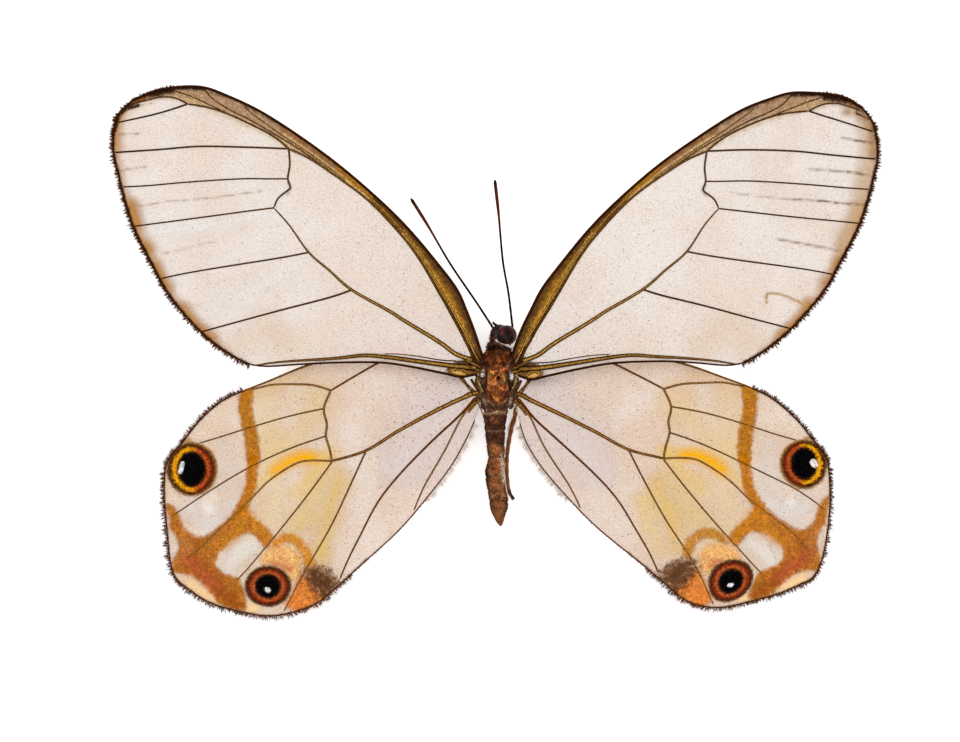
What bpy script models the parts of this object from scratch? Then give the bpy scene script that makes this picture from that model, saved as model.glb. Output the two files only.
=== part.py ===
"""Amber phantom butterfly, a dried specimen with its wings spread, at life size.

Metres, +Z up, the head towards -Y and the animal's left side on +X. It lies on its belly: the
outer wing margins, the folded legs and the rear of the abdomen rest on small flats at z = 0.
The wings are drawn on squared paper, one for the left side, and the right side is their mirror.
"""

import math

import bmesh
import bpy
from mathutils import Matrix, Vector
from mathutils.geometry import delaunay_2d_cdt, intersect_point_line

MM = 0.001
SQUARE = 0.07576  # side of one square of the drawing paper, in millimetres
AHEAD = 2.18  # the wing roots lie this far behind the middle of the whole, in millimetres
TOUCHING_GAP = 0.3  # between one part and the next that grows from it

# Wings: the sheet, the veins raised on it, and how it droops from the thorax to the floor
SHEET = 0.5
VEIN_HEIGHT = 0.2
VEIN_HALF_WIDTH = 0.3
OUTLINE_STEP = 1.1
VEIN_STEP = 1.5
FIELD_STEP = 2.3
VEIN_INSET = 0.36
HINGE_HALF_WIDTH = 1.2
ROOT_X = HINGE_HALF_WIDTH + TOUCHING_GAP
FOREWING_ROOT_Z = 2.45
FOREWING_LANDS_AT = 27.5
FOREWING_DROOP = 1.2
HINDWING_ROOT_Z = 1.6
HINDWING_LANDS_AT = 21.7
HINDWING_DROOP = 1.0

# The right wings dried a little smaller: share of the span, share of the length, slide along the body
RIGHT_FOREWING = (0.990, 0.975, -0.14)
RIGHT_HINDWING = (1.001, 0.972, 0.10)

# Outlines and veins in squares: away from the midline, and back from the wing roots
FOREWING_OUTLINE = [
    (19.8, -24), (22, -44), (36, -86), (57, -112), (87, -149), (117, -179), (157, -213.5),
    (197, -243), (237, -268.5), (272, -285), (294, -292.5), (317, -293), (342, -289), (365, -279),
    (378, -266), (383.5, -240), (379, -208), (363, -152), (347, -120), (327, -84), (297, -49),
    (269, -27), (240, -14.5), (197, -15.7), (117, -17.5), (57, -7.5), (37, -3.2), (19.8, -6),
]
FOREWING_VEINS = {
    "radius": [(27, -23), (35, -42), (57, -86), (97, -146.5), (157, -201), (208, -231)],
    "stalk": [(208, -231), (247, -256), (289, -272.5), (309, -276)],
    "upper fork": [(309, -276), (322, -282), (349, -280), (362, -275)],
    "lower fork": [(309, -276), (347, -264.5), (377, -258)],
    "cell end": [(208, -231), (209, -201), (206.5, -192), (223, -172)],
    "media 1": [(208, -231), (247, -232.5), (337, -230.5), (378, -227.5)],
    "media 2": [(209, -201), (257, -201), (307, -198), (370, -193.5)],
    "media 3": [(223, -172), (247, -169), (307, -161), (360, -154)],
    "cubitus": [(27, -23), (57, -41.5), (107, -69), (145, -90), (188, -127.5), (223, -172)],
    "cubital 1": [(188, -127.5), (217, -122), (277, -112.5), (333, -102)],
    "cubital 2": [(145, -90), (167, -82.5), (217, -69.5), (292, -49)],
    "anal": [(30, -13), (47, -15), (77, -19.5), (107, -24), (157, -23.5)],
}
HINDWING_OUTLINE = [
    (19.8, 14), (27, 9), (36, -3), (47, -10.5), (67, -16.5), (97, -23), (132, -26.5), (157, -23.5),
    (197, -12), (247, 8.5), (275, 21), (297, 40), (315, 63), (330.5, 84), (333, 110), (331, 140),
    (328, 170), (325, 190), (315, 204), (297, 218), (267, 229), (235, 235.5), (209, 231),
    (187, 226), (167, 214), (117, 167.5), (97, 149), (72, 120), (47, 87.5), (32, 61.5), (22, 40),
    (19.8, 30.5),
]
HINDWING_VEINS = {
    "radial": [(112, -19), (140, -5), (166, 10.5), (182, 5.5), (222, 4.5), (238, 9)],
    "cell end": [(166, 10.5), (173, 28.5), (171, 56), (165, 81)],
    "media 1": [(173, 28.5), (207, 36), (247, 47.5), (293, 62)],
    "media 2": [(171, 56), (207, 68.5), (247, 87), (285, 109.5), (326, 137)],
    "media 3": [(165, 81), (202, 84), (227, 100), (272, 144), (318, 184)],
    "cubitus": [(27, 14), (57, 28.5), (97, 50), (131, 70.5), (165, 81)],
    "cubital 1": [(165, 81), (187, 112), (217, 150), (247, 186), (263, 222)],
    "cubital 2": [(131, 70.5), (147, 106), (167, 148), (197, 200), (210, 226)],
    "anal 1": [(28, 24), (37, 34), (97, 94), (137, 156), (160, 201)],
    "anal 2": [(41, 52), (52, 70), (83, 127)],
}

# Thorax: back from the wing roots, half width, half height, height of the middle
THORAX = [
    (-2.55, 0.55, 0.75, 2.35), (-2.3, 0.80, 1.05, 2.30), (-2.0, 1.05, 1.25, 2.25),
    (-1.2, 1.30, 1.42, 2.20), (-0.2, 1.45, 1.45, 2.20), (0.8, 1.45, 1.42, 2.20),
    (1.6, 1.25, 1.25, 2.15), (2.1, 1.00, 1.05, 2.10), (2.42, 0.75, 0.85, 2.00),
]
BELLY_Z = 0.79

# Abdomen: back from the wing roots, middle to the left, half width
ABDOMEN = [
    (2.72, 0.15, 0.78), (3.05, 0.15, 0.83), (3.8, 0.15, 0.76), (4.7, 0.12, 0.67),
    (5.6, 0.07, 0.64), (6.1, 0.05, 0.62), (6.9, 0.17, 0.72), (7.6, 0.13, 0.70),
    (8.4, 0.00, 0.68), (9.1, -0.12, 0.70), (9.7, -0.15, 0.65), (10.1, -0.16, 0.48),
    (10.5, -0.20, 0.33), (10.8, -0.24, 0.21), (11.06, -0.29, 0.06),
]
ABDOMEN_FRONT_Z = 1.9
ABDOMEN_SLOPE = 0.19
SEGMENT_LINES = (3.9, 4.85, 5.76, 7.35, 8.5, 9.17)
SEGMENT_GROOVE = 0.05

# Head: a thick disc between two large eyes, rolled so that the right eye looks up
HEAD_MIDDLE = Vector((-0.45, -3.37, 2.05))
HEAD_ROLL = math.radians(52)
HEAD_RADIUS = 0.62
HEAD_HALF_THICKNESS = 0.2
EYE_RADIUS = 0.66
EYE_INNER_FACE = HEAD_HALF_THICKNESS + 0.16

ANTENNA_RADIUS = 0.25
PALP_RADIUS = 0.2
LEG_RADIUS = 0.22
LEG_Z = 0.2
FLOOR = 0.0

ANTENNA_LEFT = [
    (0.21, -3.76, 2.56), (1.53, -5.83, 2.5), (3.55, -8.80, 2.5), (5.20, -11.62, 2.5),
    (6.52, -13.74, 2.5),
]
ANTENNA_RIGHT = [
    (-1.08, -3.83, 1.56), (-0.86, -6.57, 2.2), (-0.44, -9.02, 2.4), (-0.12, -12.52, 2.5),
    (0.17, -15.13, 2.5),
]
PALP_LEFT = [(-0.15, -4.2, 1.35), (0.12, -4.33, 1.6), (0.32, -4.36, 1.9)]
PALP_RIGHT = [(-0.55, -4.15, 1.2), (-0.60, -4.26, 1.5), (-0.60, -4.3, 1.75)]
TONGUE_COIL = (-0.35, -3.6, 0.7)
TONGUE_RADIUS = 0.28
TONGUE_HALF_WIDTH = 0.15

# Legs, folded on the floor under the body: away from the midline, and back from the wing roots
FORELEG = [(0.28, -2.0), (0.28, -3.1)]
MIDLEG = [(0.5, -0.5), (0.75, -1.8), (0.95, -2.35), (1.2, -2.5), (1.4, -2.2), (1.4, 0.8)]
HINDLEG_RIGHT = [
    (0.45, 2.3), (0.8, 1.75), (1.1, 1.5), (1.4, 1.8), (1.4, 2.4), (1.06, 3.8), (0.87, 4.8),
    (0.76, 5.8), (0.76, 7.2), (0.9, 8.4), (1.25, 9.0),
]
HINDLEG_LEFT = [
    (0.45, 2.3), (0.8, 1.75), (1.1, 1.5), (1.4, 1.8), (1.4, 2.4), (1.25, 2.9), (0.95, 3.6),
    (0.8, 4.4), (0.65, 6.3),
]
LEG_STEP = 0.4

CLEAR = (0.88, 0.80, 0.74)
DARK_BROWN = (0.10, 0.045, 0.02)
BROWN = (0.21, 0.095, 0.04)
EYE_BROWN = (0.05, 0.015, 0.01)


def clear_scene():
    for obj in list(bpy.data.objects):
        bpy.data.objects.remove(obj, do_unlink=True)


def material(name, colour, roughness):
    made = bpy.data.materials.new(name)
    made.use_nodes = True
    shader = made.node_tree.nodes["Principled BSDF"]
    shader.inputs["Base Color"].default_value = (*colour, 1)
    shader.inputs["Roughness"].default_value = roughness
    shader.inputs["Metallic"].default_value = 0
    return made


def place(name, mesh, made_of):
    """One part in the butterfly's collection, parented to the empty at the wing roots."""
    obj = bpy.data.objects.new(name, mesh)
    obj.data.materials.append(made_of)
    obj.parent = wing_roots
    butterfly.objects.link(obj)
    return obj


def mesh_from(name, shape, smooth_angle=40):
    """A mesh in metres from a bmesh drawn in millimetres."""
    bmesh.ops.scale(shape, vec=(MM, MM, MM), verts=shape.verts)
    mesh = bpy.data.meshes.new(name)
    shape.to_mesh(mesh)
    shape.free()
    mesh.shade_smooth()
    mesh.set_sharp_from_angle(angle=math.radians(smooth_angle))
    return mesh


def smooth_line(points, step, closed=False):
    """Points about a step apart on a smooth curve that passes through each of the given ones."""
    points = [Vector(point) for point in points]
    count = len(points)
    line = []
    for i in range(count if closed else count - 1):
        start, end = points[i], points[(i + 1) % count]
        before = points[i - 1] if closed or i else start
        after = points[(i + 2) % count] if closed or i + 2 < count else end
        parts = max(1, round((end - start).length / step))
        for k in range(parts):
            t = k / parts
            line.append(
                start
                + (end - before) * (t - 2 * t**2 + t**3) / 2
                + (end - start) * (3 * t**2 - 2 * t**3)
                + (after - start) * (t**3 - t**2) / 2
            )
    return line if closed else line + [points[-1]]


def distance_to(point, line):
    """Plan distance from a point to a line of points."""
    nearest = math.inf
    for start, end in zip(line, line[1:]):
        foot, share = intersect_point_line(point, start, end)
        foot = foot if 0 <= share <= 1 else (start if share < 0 else end)
        nearest = min(nearest, (point - foot.xy).length)
    return nearest


def inside(point, loop):
    """Whether a point is inside a closed loop, by counting the sides to its right."""
    crossings = 0
    for start, end in zip(loop, loop[1:] + loop[:1]):
        if (start.y > point.y) != (end.y > point.y):
            crossings += point.x < start.x + (point.y - start.y) * (end.x - start.x) / (end.y - start.y)
    return crossings % 2 == 1


def wing_points(outline, veins):
    """The outline, the veins, a rail on each side of them and a field of points between."""
    edge = outline + outline[:1]
    points = list(outline)
    lines = [(i, (i + 1) % len(outline)) for i in range(len(outline))]
    for vein in veins:
        last = None
        for point in vein:
            if distance_to(point, edge) < VEIN_INSET:
                last = None
                continue
            points.append(point)
            if last is not None:
                lines.append((last, len(points) - 1))
            last = len(points) - 1
    rails = []
    for vein in veins:
        for before, point, after in zip([vein[0]] + vein, vein, vein[1:] + [vein[-1]]):
            across = (after - before).orthogonal().normalized() * VEIN_HALF_WIDTH
            for rail in (point + across, point - across):
                nearest_vein = min(distance_to(rail, other) for other in veins)
                nearest_rail = min([(rail - other).length for other in rails] + [math.inf])
                if nearest_vein < VEIN_HALF_WIDTH * 0.9 or nearest_rail < VEIN_HALF_WIDTH * 0.9:
                    continue
                if inside(rail, outline) and distance_to(rail, edge) >= VEIN_INSET:
                    rails.append(rail)
    points += rails
    reach = max(point.x for point in outline)
    low = min(point.y for point in outline)
    high = max(point.y for point in outline)
    row_step = FIELD_STEP * math.sin(math.radians(60))
    for row in range(math.ceil((high - low) / row_step)):
        for column in range(math.ceil(reach / FIELD_STEP) + 1):
            field = Vector(((column + row % 2 / 2) * FIELD_STEP, low + row * row_step))
            room = min([distance_to(field, edge)] + [distance_to(field, vein) for vein in veins])
            if inside(field, outline) and room >= FIELD_STEP / 2:
                points.append(field)
    return points, lines


def wing(name, outline, veins, root_z, lands_at, droop, right=None):
    """A drooping sheet, the same triangles above and below, with its veins raised on the upper face."""
    squares = Vector((SQUARE, SQUARE))
    outline = smooth_line([Vector(p) * squares for p in outline], OUTLINE_STEP, closed=True)
    veins = [smooth_line([Vector(p) * squares for p in vein], VEIN_STEP) for vein in veins.values()]
    edge = outline + outline[:1]
    points, lines = wing_points(outline, veins)
    plan, _, triangles, *_ = delaunay_2d_cdt(points, lines, [], 1, 1e-5)
    shape = bmesh.new()
    below = []
    above = []
    for point in plan:
        share = min(1, max(0, (point.x - ROOT_X) / (lands_at - ROOT_X))) ** droop
        low = root_z * (1 - 3 * share**2 + 2 * share**3)
        nearest = min(distance_to(point, vein) for vein in veins)
        rise = max(0, 1 - nearest / VEIN_HALF_WIDTH) * min(1, distance_to(point, edge))
        x, y = point
        if right:
            span, length, slide = right
            x = -ROOT_X - (x - ROOT_X) * span
            y = y * length + slide
        below.append(shape.verts.new((x, y, low)))
        above.append(shape.verts.new((x, y, low + SHEET + VEIN_HEIGHT * rise)))
    for a, b, c in triangles:
        if right:
            b, c = c, b
        shape.faces.new((above[a], above[b], above[c]))
        shape.faces.new((below[c], below[b], below[a]))
    under = dict(zip(above, below))
    for rim in [side for side in shape.edges if side.is_boundary and side.verts[0] in under]:
        upper = rim.link_loops[0]
        start, end = upper.vert, upper.link_loop_next.vert
        shape.faces.new((end, start, under[start], under[end]))
    return place(name, mesh_from(name, shape), membrane)


def loft(name, rings, made_of):
    """A closed body through rings of points, one after another along the body."""
    shape = bmesh.new()
    loops = [[shape.verts.new(point) for point in ring] for ring in rings]
    sides = len(rings[0])
    for front, back in zip(loops, loops[1:]):
        for i in range(sides):
            j = (i + 1) % sides
            shape.faces.new((front[i], front[j], back[j], back[i]))
    for end in (loops[0][::-1], loops[-1]):
        shape.faces.new(end)
    bmesh.ops.recalc_face_normals(shape, faces=shape.faces)
    bmesh.ops.triangulate(shape, faces=[face for face in shape.faces if len(face.verts) > 4])
    return place(name, mesh_from(name, shape), made_of)


def ring(middle_x, y, middle_z, half_width, half_height, sides):
    """A round section across the body."""
    turns = [2 * math.pi * (i + 0.5) / sides for i in range(sides)]
    return [
        Vector((middle_x + half_width * math.cos(turn), y, middle_z + half_height * math.sin(turn)))
        for turn in turns
    ]


def thorax():
    """The chest, flat at the wing hinges and under the belly."""
    rings = []
    for y, half_width, half_height, middle_z in THORAX:
        section = ring(0, y, middle_z, half_width, half_height, sides=20)
        for point in section:
            point.x = max(-HINGE_HALF_WIDTH, min(HINGE_HALF_WIDTH, point.x))
            point.z = max(BELLY_Z, point.z)
        rings.append(section)
    return loft("thorax", rings, fur_brown)


def abdomen():
    """The slim abdomen, slightly pinched at its segments, with its rear resting on the floor."""
    stations = smooth_line([Vector(station) for station in ABDOMEN], step=0.35)
    rings = []
    for y, middle_x, half_width in stations:
        pinch = sum(math.exp(-(((y - line) / 0.12) ** 2)) for line in SEGMENT_LINES)
        half_width -= SEGMENT_GROOVE * pinch
        middle_z = ABDOMEN_FRONT_Z - ABDOMEN_SLOPE * (y - ABDOMEN[0][0])
        section = ring(middle_x, y, middle_z, half_width, half_width * 0.95, sides=14)
        for point in section:
            point.z = max(FLOOR, point.z)
        rings.append(section)
    return loft("abdomen", rings, abdomen_brown)


def slice_of_ball(name, radius, low, high, made_of):
    """The slice of a ball between two planes across the line through both eyes, at the head."""
    shape = bmesh.new()
    bmesh.ops.create_uvsphere(shape, u_segments=16, v_segments=12, radius=radius)
    for height, keep_above in ((low, True), (high, False)):
        if abs(height) >= radius:
            continue
        bmesh.ops.bisect_plane(
            shape,
            geom=shape.verts[:] + shape.edges[:] + shape.faces[:],
            dist=1e-5,
            plane_co=(0, 0, height),
            plane_no=(0, 0, -1 if keep_above else 1),
            clear_outer=True,
        )
        rim = [side for side in shape.edges if side.is_boundary]
        bmesh.ops.contextual_create(shape, geom=rim)
    towards_right_eye = Vector((-math.cos(HEAD_ROLL), 0, math.sin(HEAD_ROLL)))
    turn = Vector((0, 0, 1)).rotation_difference(towards_right_eye).to_matrix().to_4x4()
    bmesh.ops.transform(shape, matrix=Matrix.Translation(HEAD_MIDDLE) @ turn, verts=shape.verts)
    bmesh.ops.recalc_face_normals(shape, faces=shape.faces)
    return place(name, mesh_from(name, shape), made_of)


def tube(name, points, radii, made_of, step=LEG_STEP):
    """A limb along a smooth line, as thick as the radii say, flat where it lies on the floor."""
    line = smooth_line([Vector(point) for point in points], step)
    curve = bpy.data.curves.new(name, "CURVE")
    curve.dimensions = "3D"
    curve.bevel_depth = 1
    curve.bevel_resolution = 2
    curve.use_fill_caps = True
    spline = curve.splines.new("POLY")
    spline.points.add(len(line) - 1)
    for i, point in enumerate(line):
        along = i / (len(line) - 1) * (len(radii) - 1)
        first = min(int(along), len(radii) - 2)
        spline.points[i].co = (*point, 1)
        spline.points[i].radius = radii[first] + (radii[first + 1] - radii[first]) * (along - first)
    guide = bpy.data.objects.new(name + "_line", curve)
    butterfly.objects.link(guide)
    drawn = guide.evaluated_get(bpy.context.evaluated_depsgraph_get())
    shape = bmesh.new()
    shape.from_mesh(drawn.to_mesh())
    bpy.data.objects.remove(guide)
    bmesh.ops.remove_doubles(shape, verts=shape.verts, dist=1e-4)
    for vert in shape.verts:
        vert.co.z = max(FLOOR, vert.co.z)
    bmesh.ops.recalc_face_normals(shape, faces=shape.faces)
    return place(name, mesh_from(name, shape), made_of)


def leg(name, side, points):
    """A leg folded flat on the floor."""
    radii = [LEG_RADIUS * 0.9, LEG_RADIUS, LEG_RADIUS, LEG_RADIUS * 0.8]
    tube(name, [(side * x, y, LEG_Z) for x, y in points], radii, leg_brown)


def coiled_tongue():
    """The coiled tongue, one small disc under the head."""
    shape = bmesh.new()
    turn = Matrix.Translation(TONGUE_COIL) @ Matrix.Rotation(math.radians(90), 4, "Y")
    bmesh.ops.create_cone(
        shape, cap_ends=True, segments=14, radius1=TONGUE_RADIUS, radius2=TONGUE_RADIUS,
        depth=2 * TONGUE_HALF_WIDTH, matrix=turn,
    )
    return place("proboscis", mesh_from("proboscis", shape), leg_brown)


clear_scene()
butterfly = bpy.data.collections.new("amber_phantom_butterfly")
bpy.context.scene.collection.children.link(butterfly)
wing_roots = bpy.data.objects.new("wing_roots", None)
wing_roots.location = (0, AHEAD * MM, 0)
butterfly.objects.link(wing_roots)

membrane = material("membrane", CLEAR, 0.35)
fur_brown = material("fur_brown", BROWN, 0.8)
abdomen_brown = material("abdomen_brown", DARK_BROWN, 0.7)
eye_brown = material("eye_brown", EYE_BROWN, 0.15)
leg_brown = material("leg_brown", BROWN, 0.55)

thorax()
abdomen()
slice_of_ball("head", HEAD_RADIUS, -HEAD_HALF_THICKNESS, HEAD_HALF_THICKNESS, fur_brown)
slice_of_ball("eye_right", EYE_RADIUS, EYE_INNER_FACE, 1, eye_brown)
slice_of_ball("eye_left", EYE_RADIUS, -1, -EYE_INNER_FACE, eye_brown)
coiled_tongue()
antenna_radii = [ANTENNA_RADIUS] * 6 + [ANTENNA_RADIUS * 0.7]
tube("antenna_left", ANTENNA_LEFT, antenna_radii, leg_brown, step=1.0)
tube("antenna_right", ANTENNA_RIGHT, antenna_radii, leg_brown, step=1.0)
palp_radii = [PALP_RADIUS, PALP_RADIUS, PALP_RADIUS * 0.3]
tube("palp_left", PALP_LEFT, palp_radii, fur_brown, step=0.2)
tube("palp_right", PALP_RIGHT, palp_radii, fur_brown, step=0.2)

forewing = (FOREWING_OUTLINE, FOREWING_VEINS, FOREWING_ROOT_Z, FOREWING_LANDS_AT, FOREWING_DROOP)
hindwing = (HINDWING_OUTLINE, HINDWING_VEINS, HINDWING_ROOT_Z, HINDWING_LANDS_AT, HINDWING_DROOP)
wing("forewing_left", *forewing)
wing("forewing_right", *forewing, right=RIGHT_FOREWING)
wing("hindwing_left", *hindwing)
wing("hindwing_right", *hindwing, right=RIGHT_HINDWING)

for side, side_name, hindleg in ((1, "left", HINDLEG_LEFT), (-1, "right", HINDLEG_RIGHT)):
    leg("foreleg_" + side_name, side, FORELEG)
    leg("midleg_" + side_name, side, MIDLEG)
    leg("hindleg_" + side_name, side, hindleg)
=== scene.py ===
"""Amber phantom butterfly: the looks of a dried, spread specimen lying on a pale sheet."""

import math

import bmesh
import bpy
import numpy as np
from mathutils import Matrix, Vector
from mathutils.geometry import delaunay_2d_cdt


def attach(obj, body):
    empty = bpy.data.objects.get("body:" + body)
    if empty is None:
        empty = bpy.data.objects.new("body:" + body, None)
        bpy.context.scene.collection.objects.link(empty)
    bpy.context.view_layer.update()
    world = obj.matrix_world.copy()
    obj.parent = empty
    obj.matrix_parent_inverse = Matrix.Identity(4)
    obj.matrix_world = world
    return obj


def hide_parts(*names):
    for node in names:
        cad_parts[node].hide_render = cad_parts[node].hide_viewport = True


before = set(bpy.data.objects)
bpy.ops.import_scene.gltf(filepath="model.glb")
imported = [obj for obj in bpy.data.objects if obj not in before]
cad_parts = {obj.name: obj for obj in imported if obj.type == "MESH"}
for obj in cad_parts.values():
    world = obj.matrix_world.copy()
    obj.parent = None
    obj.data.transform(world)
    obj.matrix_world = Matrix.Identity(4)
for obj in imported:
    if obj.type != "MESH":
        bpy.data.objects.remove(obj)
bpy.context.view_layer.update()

# Camera: looks straight down on the specimen, its head towards the top of the frame.
# The drawing paper has one square a picture point; its column 497 is the body's midline
# and its row 380 is the wing roots.
MM = 0.001
SQUARE = 0.07576 * MM
MIDLINE_COLUMN = 497
ROOT_ROW = 380
AHEAD = 2.18 * MM
FRAME_COLUMNS, FRAME_ROWS = 960, 742
LENS = 700


def on_paper(column, row):
    """Where a square of the drawing paper lies, in metres."""
    return (MIDLINE_COLUMN - column) * SQUARE, (row - ROOT_ROW) * SQUARE + AHEAD


camera_data = bpy.data.cameras.new("overhead")
camera_data.lens = LENS
camera_data.clip_start = 0.01
camera_data.clip_end = 10
camera = bpy.data.objects.new("overhead", camera_data)
camera.location = (*on_paper(FRAME_COLUMNS / 2, FRAME_ROWS / 2),
                   FRAME_COLUMNS * SQUARE * LENS / camera_data.sensor_width)
camera.rotation_euler = (0, 0, math.pi)
bpy.context.scene.collection.objects.link(camera)
bpy.context.scene.camera = camera
bpy.context.scene.view_settings.view_transform = "Standard"


# Floor and light: a plain white sheet under one broad soft lamp and an even white sky.
class Shade:
    """One value in a material; Python arithmetic on it adds Math nodes."""

    def __init__(self, finish, socket):
        self.finish = finish
        self.socket = socket

    def math(self, operation, *others, clamp=False):
        node = self.finish.node("ShaderNodeMath", {"operation": operation, "use_clamp": clamp},
                                {i: other for i, other in enumerate((self, *others))})
        return Shade(self.finish, node.outputs[0])

    def __add__(self, other):
        return self.math("ADD", other)

    def __sub__(self, other):
        return self.math("SUBTRACT", other)

    def __rsub__(self, other):
        return self.math("MULTIPLY", -1).math("ADD", other)

    def __mul__(self, other):
        return self.math("MULTIPLY", other)

    def __truediv__(self, other):
        return self.math("DIVIDE", other)

    def over(self, low, high):
        """0 below low and 1 above high, with a straight run between."""
        return ((self - low) / (high - low)).math("ADD", 0, clamp=True)

    __radd__ = __add__
    __rmul__ = __mul__


class Finish:
    """A procedural material on one Principled shader."""

    def __init__(self, name, **constants):
        self.material = bpy.data.materials.new(name)
        self.material.use_nodes = True
        self.tree = self.material.node_tree
        self.shader = self.tree.nodes["Principled BSDF"]
        for socket, value in constants.items():
            self.shader.inputs[socket.replace("_", " ")].default_value = value

    def node(self, kind, settings=None, links=None):
        made = self.tree.nodes.new(kind)
        for key, value in (settings or {}).items():
            setattr(made, key, value)
        for key, value in (links or {}).items():
            target = made.inputs[key]
            if isinstance(value, Shade):
                self.tree.links.new(value.socket, target)
            else:
                target.default_value = value
        return made

    def place(self):
        return Shade(self, self.node("ShaderNodeTexCoord").outputs["Object"])

    def grain(self, size, detail=2.0, roughness=0.5, where=None):
        """Noise between 0 and 1 whose lumps are about size across, in metres."""
        links = {"Vector": where or self.place(), "Scale": 1 / size, "Detail": detail,
                 "Roughness": roughness}
        return Shade(self, self.node("ShaderNodeTexNoise", None, links).outputs["Fac"])

    def value(self, name):
        return Shade(self, self.node("ShaderNodeAttribute", {"attribute_name": name}).outputs["Fac"])

    def mix(self, below, above, amount, blend="MIX"):
        """Colour above laid over colour below."""
        made = self.node("ShaderNodeMix", {"data_type": "RGBA", "blend_type": blend})
        for socket, value in ((0, amount), (6, below), (7, above)):
            if isinstance(value, Shade):
                self.tree.links.new(value.socket, made.inputs[socket])
            else:
                made.inputs[socket].default_value = value
        return Shade(self, made.outputs[2])

    def feed(self, socket, value):
        self.tree.links.new(value.socket, self.shader.inputs[socket])

    def bump(self, height, strength, distance):
        made = self.node("ShaderNodeBump", None,
                         {"Height": height, "Strength": strength, "Distance": distance})
        self.tree.links.new(made.outputs[0], self.shader.inputs["Normal"])


def seen(red, green, blue):
    """A colour as it is seen, 0 to 255, turned into the light it reflects."""
    return (*[((c / 255 + 0.055) / 1.055) ** 2.4 for c in (red, green, blue)], 1)


def toned(colour, share, extra=0):
    """The seen colour made darker or lighter."""
    return seen(*[min(255, c * share + extra) for c in colour])


FLOOR_HALF = 1.6
FLOOR_DROP = 0.00002
bpy.ops.object.select_all(action="DESELECT")
bpy.ops.mesh.primitive_plane_add(size=2 * FLOOR_HALF, location=(0, 0, -FLOOR_DROP))
sheet_below = bpy.context.object
sheet_below.name = "floor"
paper = Finish("white_sheet", Base_Color=(0.95, 0.95, 0.95, 1), Roughness=0.9,
               Emission_Color=(1, 1, 1, 1), Emission_Strength=0.42)
sheet_below.data.materials.append(paper.material)

world = bpy.data.worlds.new("white_room")
world.use_nodes = True
world.node_tree.nodes["Background"].inputs["Color"].default_value = (1, 1, 1, 1)
world.node_tree.nodes["Background"].inputs["Strength"].default_value = 0.56
bpy.context.scene.world = world

LAMPS = (("soft_lamp", (0.10, -0.18, 0.35), 0.30, 0.76),
         ("fill_lamp", (-0.16, 0.10, 0.30), 0.30, 0.33))
for lamp_name, where, size, power in LAMPS:
    lamp_data = bpy.data.lights.new(lamp_name, "AREA")
    lamp_data.size = size
    lamp_data.energy = power
    lamp = bpy.data.objects.new(lamp_name, lamp_data)
    lamp.location = where
    lamp.rotation_euler = (-Vector(where)).to_track_quat("-Z", "Y").to_euler()
    bpy.context.scene.collection.objects.link(lamp)


# Wing membranes: clear, faintly pink chitin a few hundredths of a millimetre thick, sagging
# from the thorax until the outer margins lie on the sheet. Each is drawn once, as the left
# wing, and the right wing is the same drawing pinned down where the right wing lies.
SIDES = ("left", "right")
SHEET = 0.035 * MM
ROOT_X = 1.5 * MM
RIPPLE = 0.05 * MM
LATTICE = 3.0

FOREWING = dict(root_z=2.45 * MM, lands_at=27.5 * MM, droop=1.2, lift=0.16 * MM)
HINDWING = dict(root_z=1.6 * MM, lands_at=21.7 * MM, droop=1.0, lift=0.16 * MM)
FOREWING["outline"] = [
    (486, 368), (483.5, 358), (480.3, 350), (477.5, 340), (473.7, 330), (470, 320), (466, 310),
    (462, 300), (457, 290), (440, 267), (410, 231), (380, 201), (340, 166.5), (300, 137), (260, 111.5),
    (225, 95), (203, 87.5), (180, 87), (155, 91), (132, 101), (119, 114), (114, 130), (113.5, 152),
    (118, 172), (124, 197), (134, 228), (150, 260), (170, 296), (200, 331), (228, 353), (250, 364.5),
    (268, 366.5), (300, 364.3), (340, 362.3), (380, 362.5), (410, 366.5), (440, 372.5), (460, 376.8),
    (470, 376), (477.5, 374.3), (485.5, 373.5),
]
FOREWING["pins"] = [
    (289, 149, 706.6, 151.3), (288, 179, 705.5, 181.5), (274, 208, 718.5, 208.7),
    (309, 252.5, 686.5, 251.7), (351, 290, 643.5, 289.5), (188, 104, 808.5, 111),
    (118, 122.5, 873, 131.5), (114, 152.5, 877, 159), (122, 187, 870, 189.5), (134, 226.3, 859, 223.5),
    (160.5, 278.7, 833, 274.5), (201, 332, 791, 328.7), (255, 366, 737, 365), (480.3, 350, 514, 350),
    (477.2, 374, 518, 375.5), (486, 368, 509, 368), (485.5, 373.5, 509, 374), (473.7, 330, 521.5, 330),
    (462, 300, 536, 300), (465.5, 340, 530, 340), (410, 231, 588, 231), (340, 166.5, 658, 166),
    (260, 111.5, 739.5, 111.5), (195, 86, 800, 92), (155, 91, 843, 97), (330, 363, 668, 361.5),
    (450, 375, 540, 378),
]
HINDWING["outline"] = [
    (484.5, 393), (477.5, 391), (470, 388), (461, 377), (450, 369.5), (430, 363.5), (400, 357), (365, 353.5),
    (340, 356.5), (300, 368), (270, 380.5), (243, 391), (222, 401), (200, 420), (182, 443),
    (170, 457), (165, 472), (164.5, 500), (167.5, 535), (170, 560), (176, 578), (190, 590),
    (212, 603.5), (250, 613.5), (275, 615.5), (300, 610), (320, 601), (340, 584), (370, 557),
    (400, 529), (425, 500), (450, 467.5), (465, 441.5), (474, 423), (479, 409), (484, 400),
]
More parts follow.
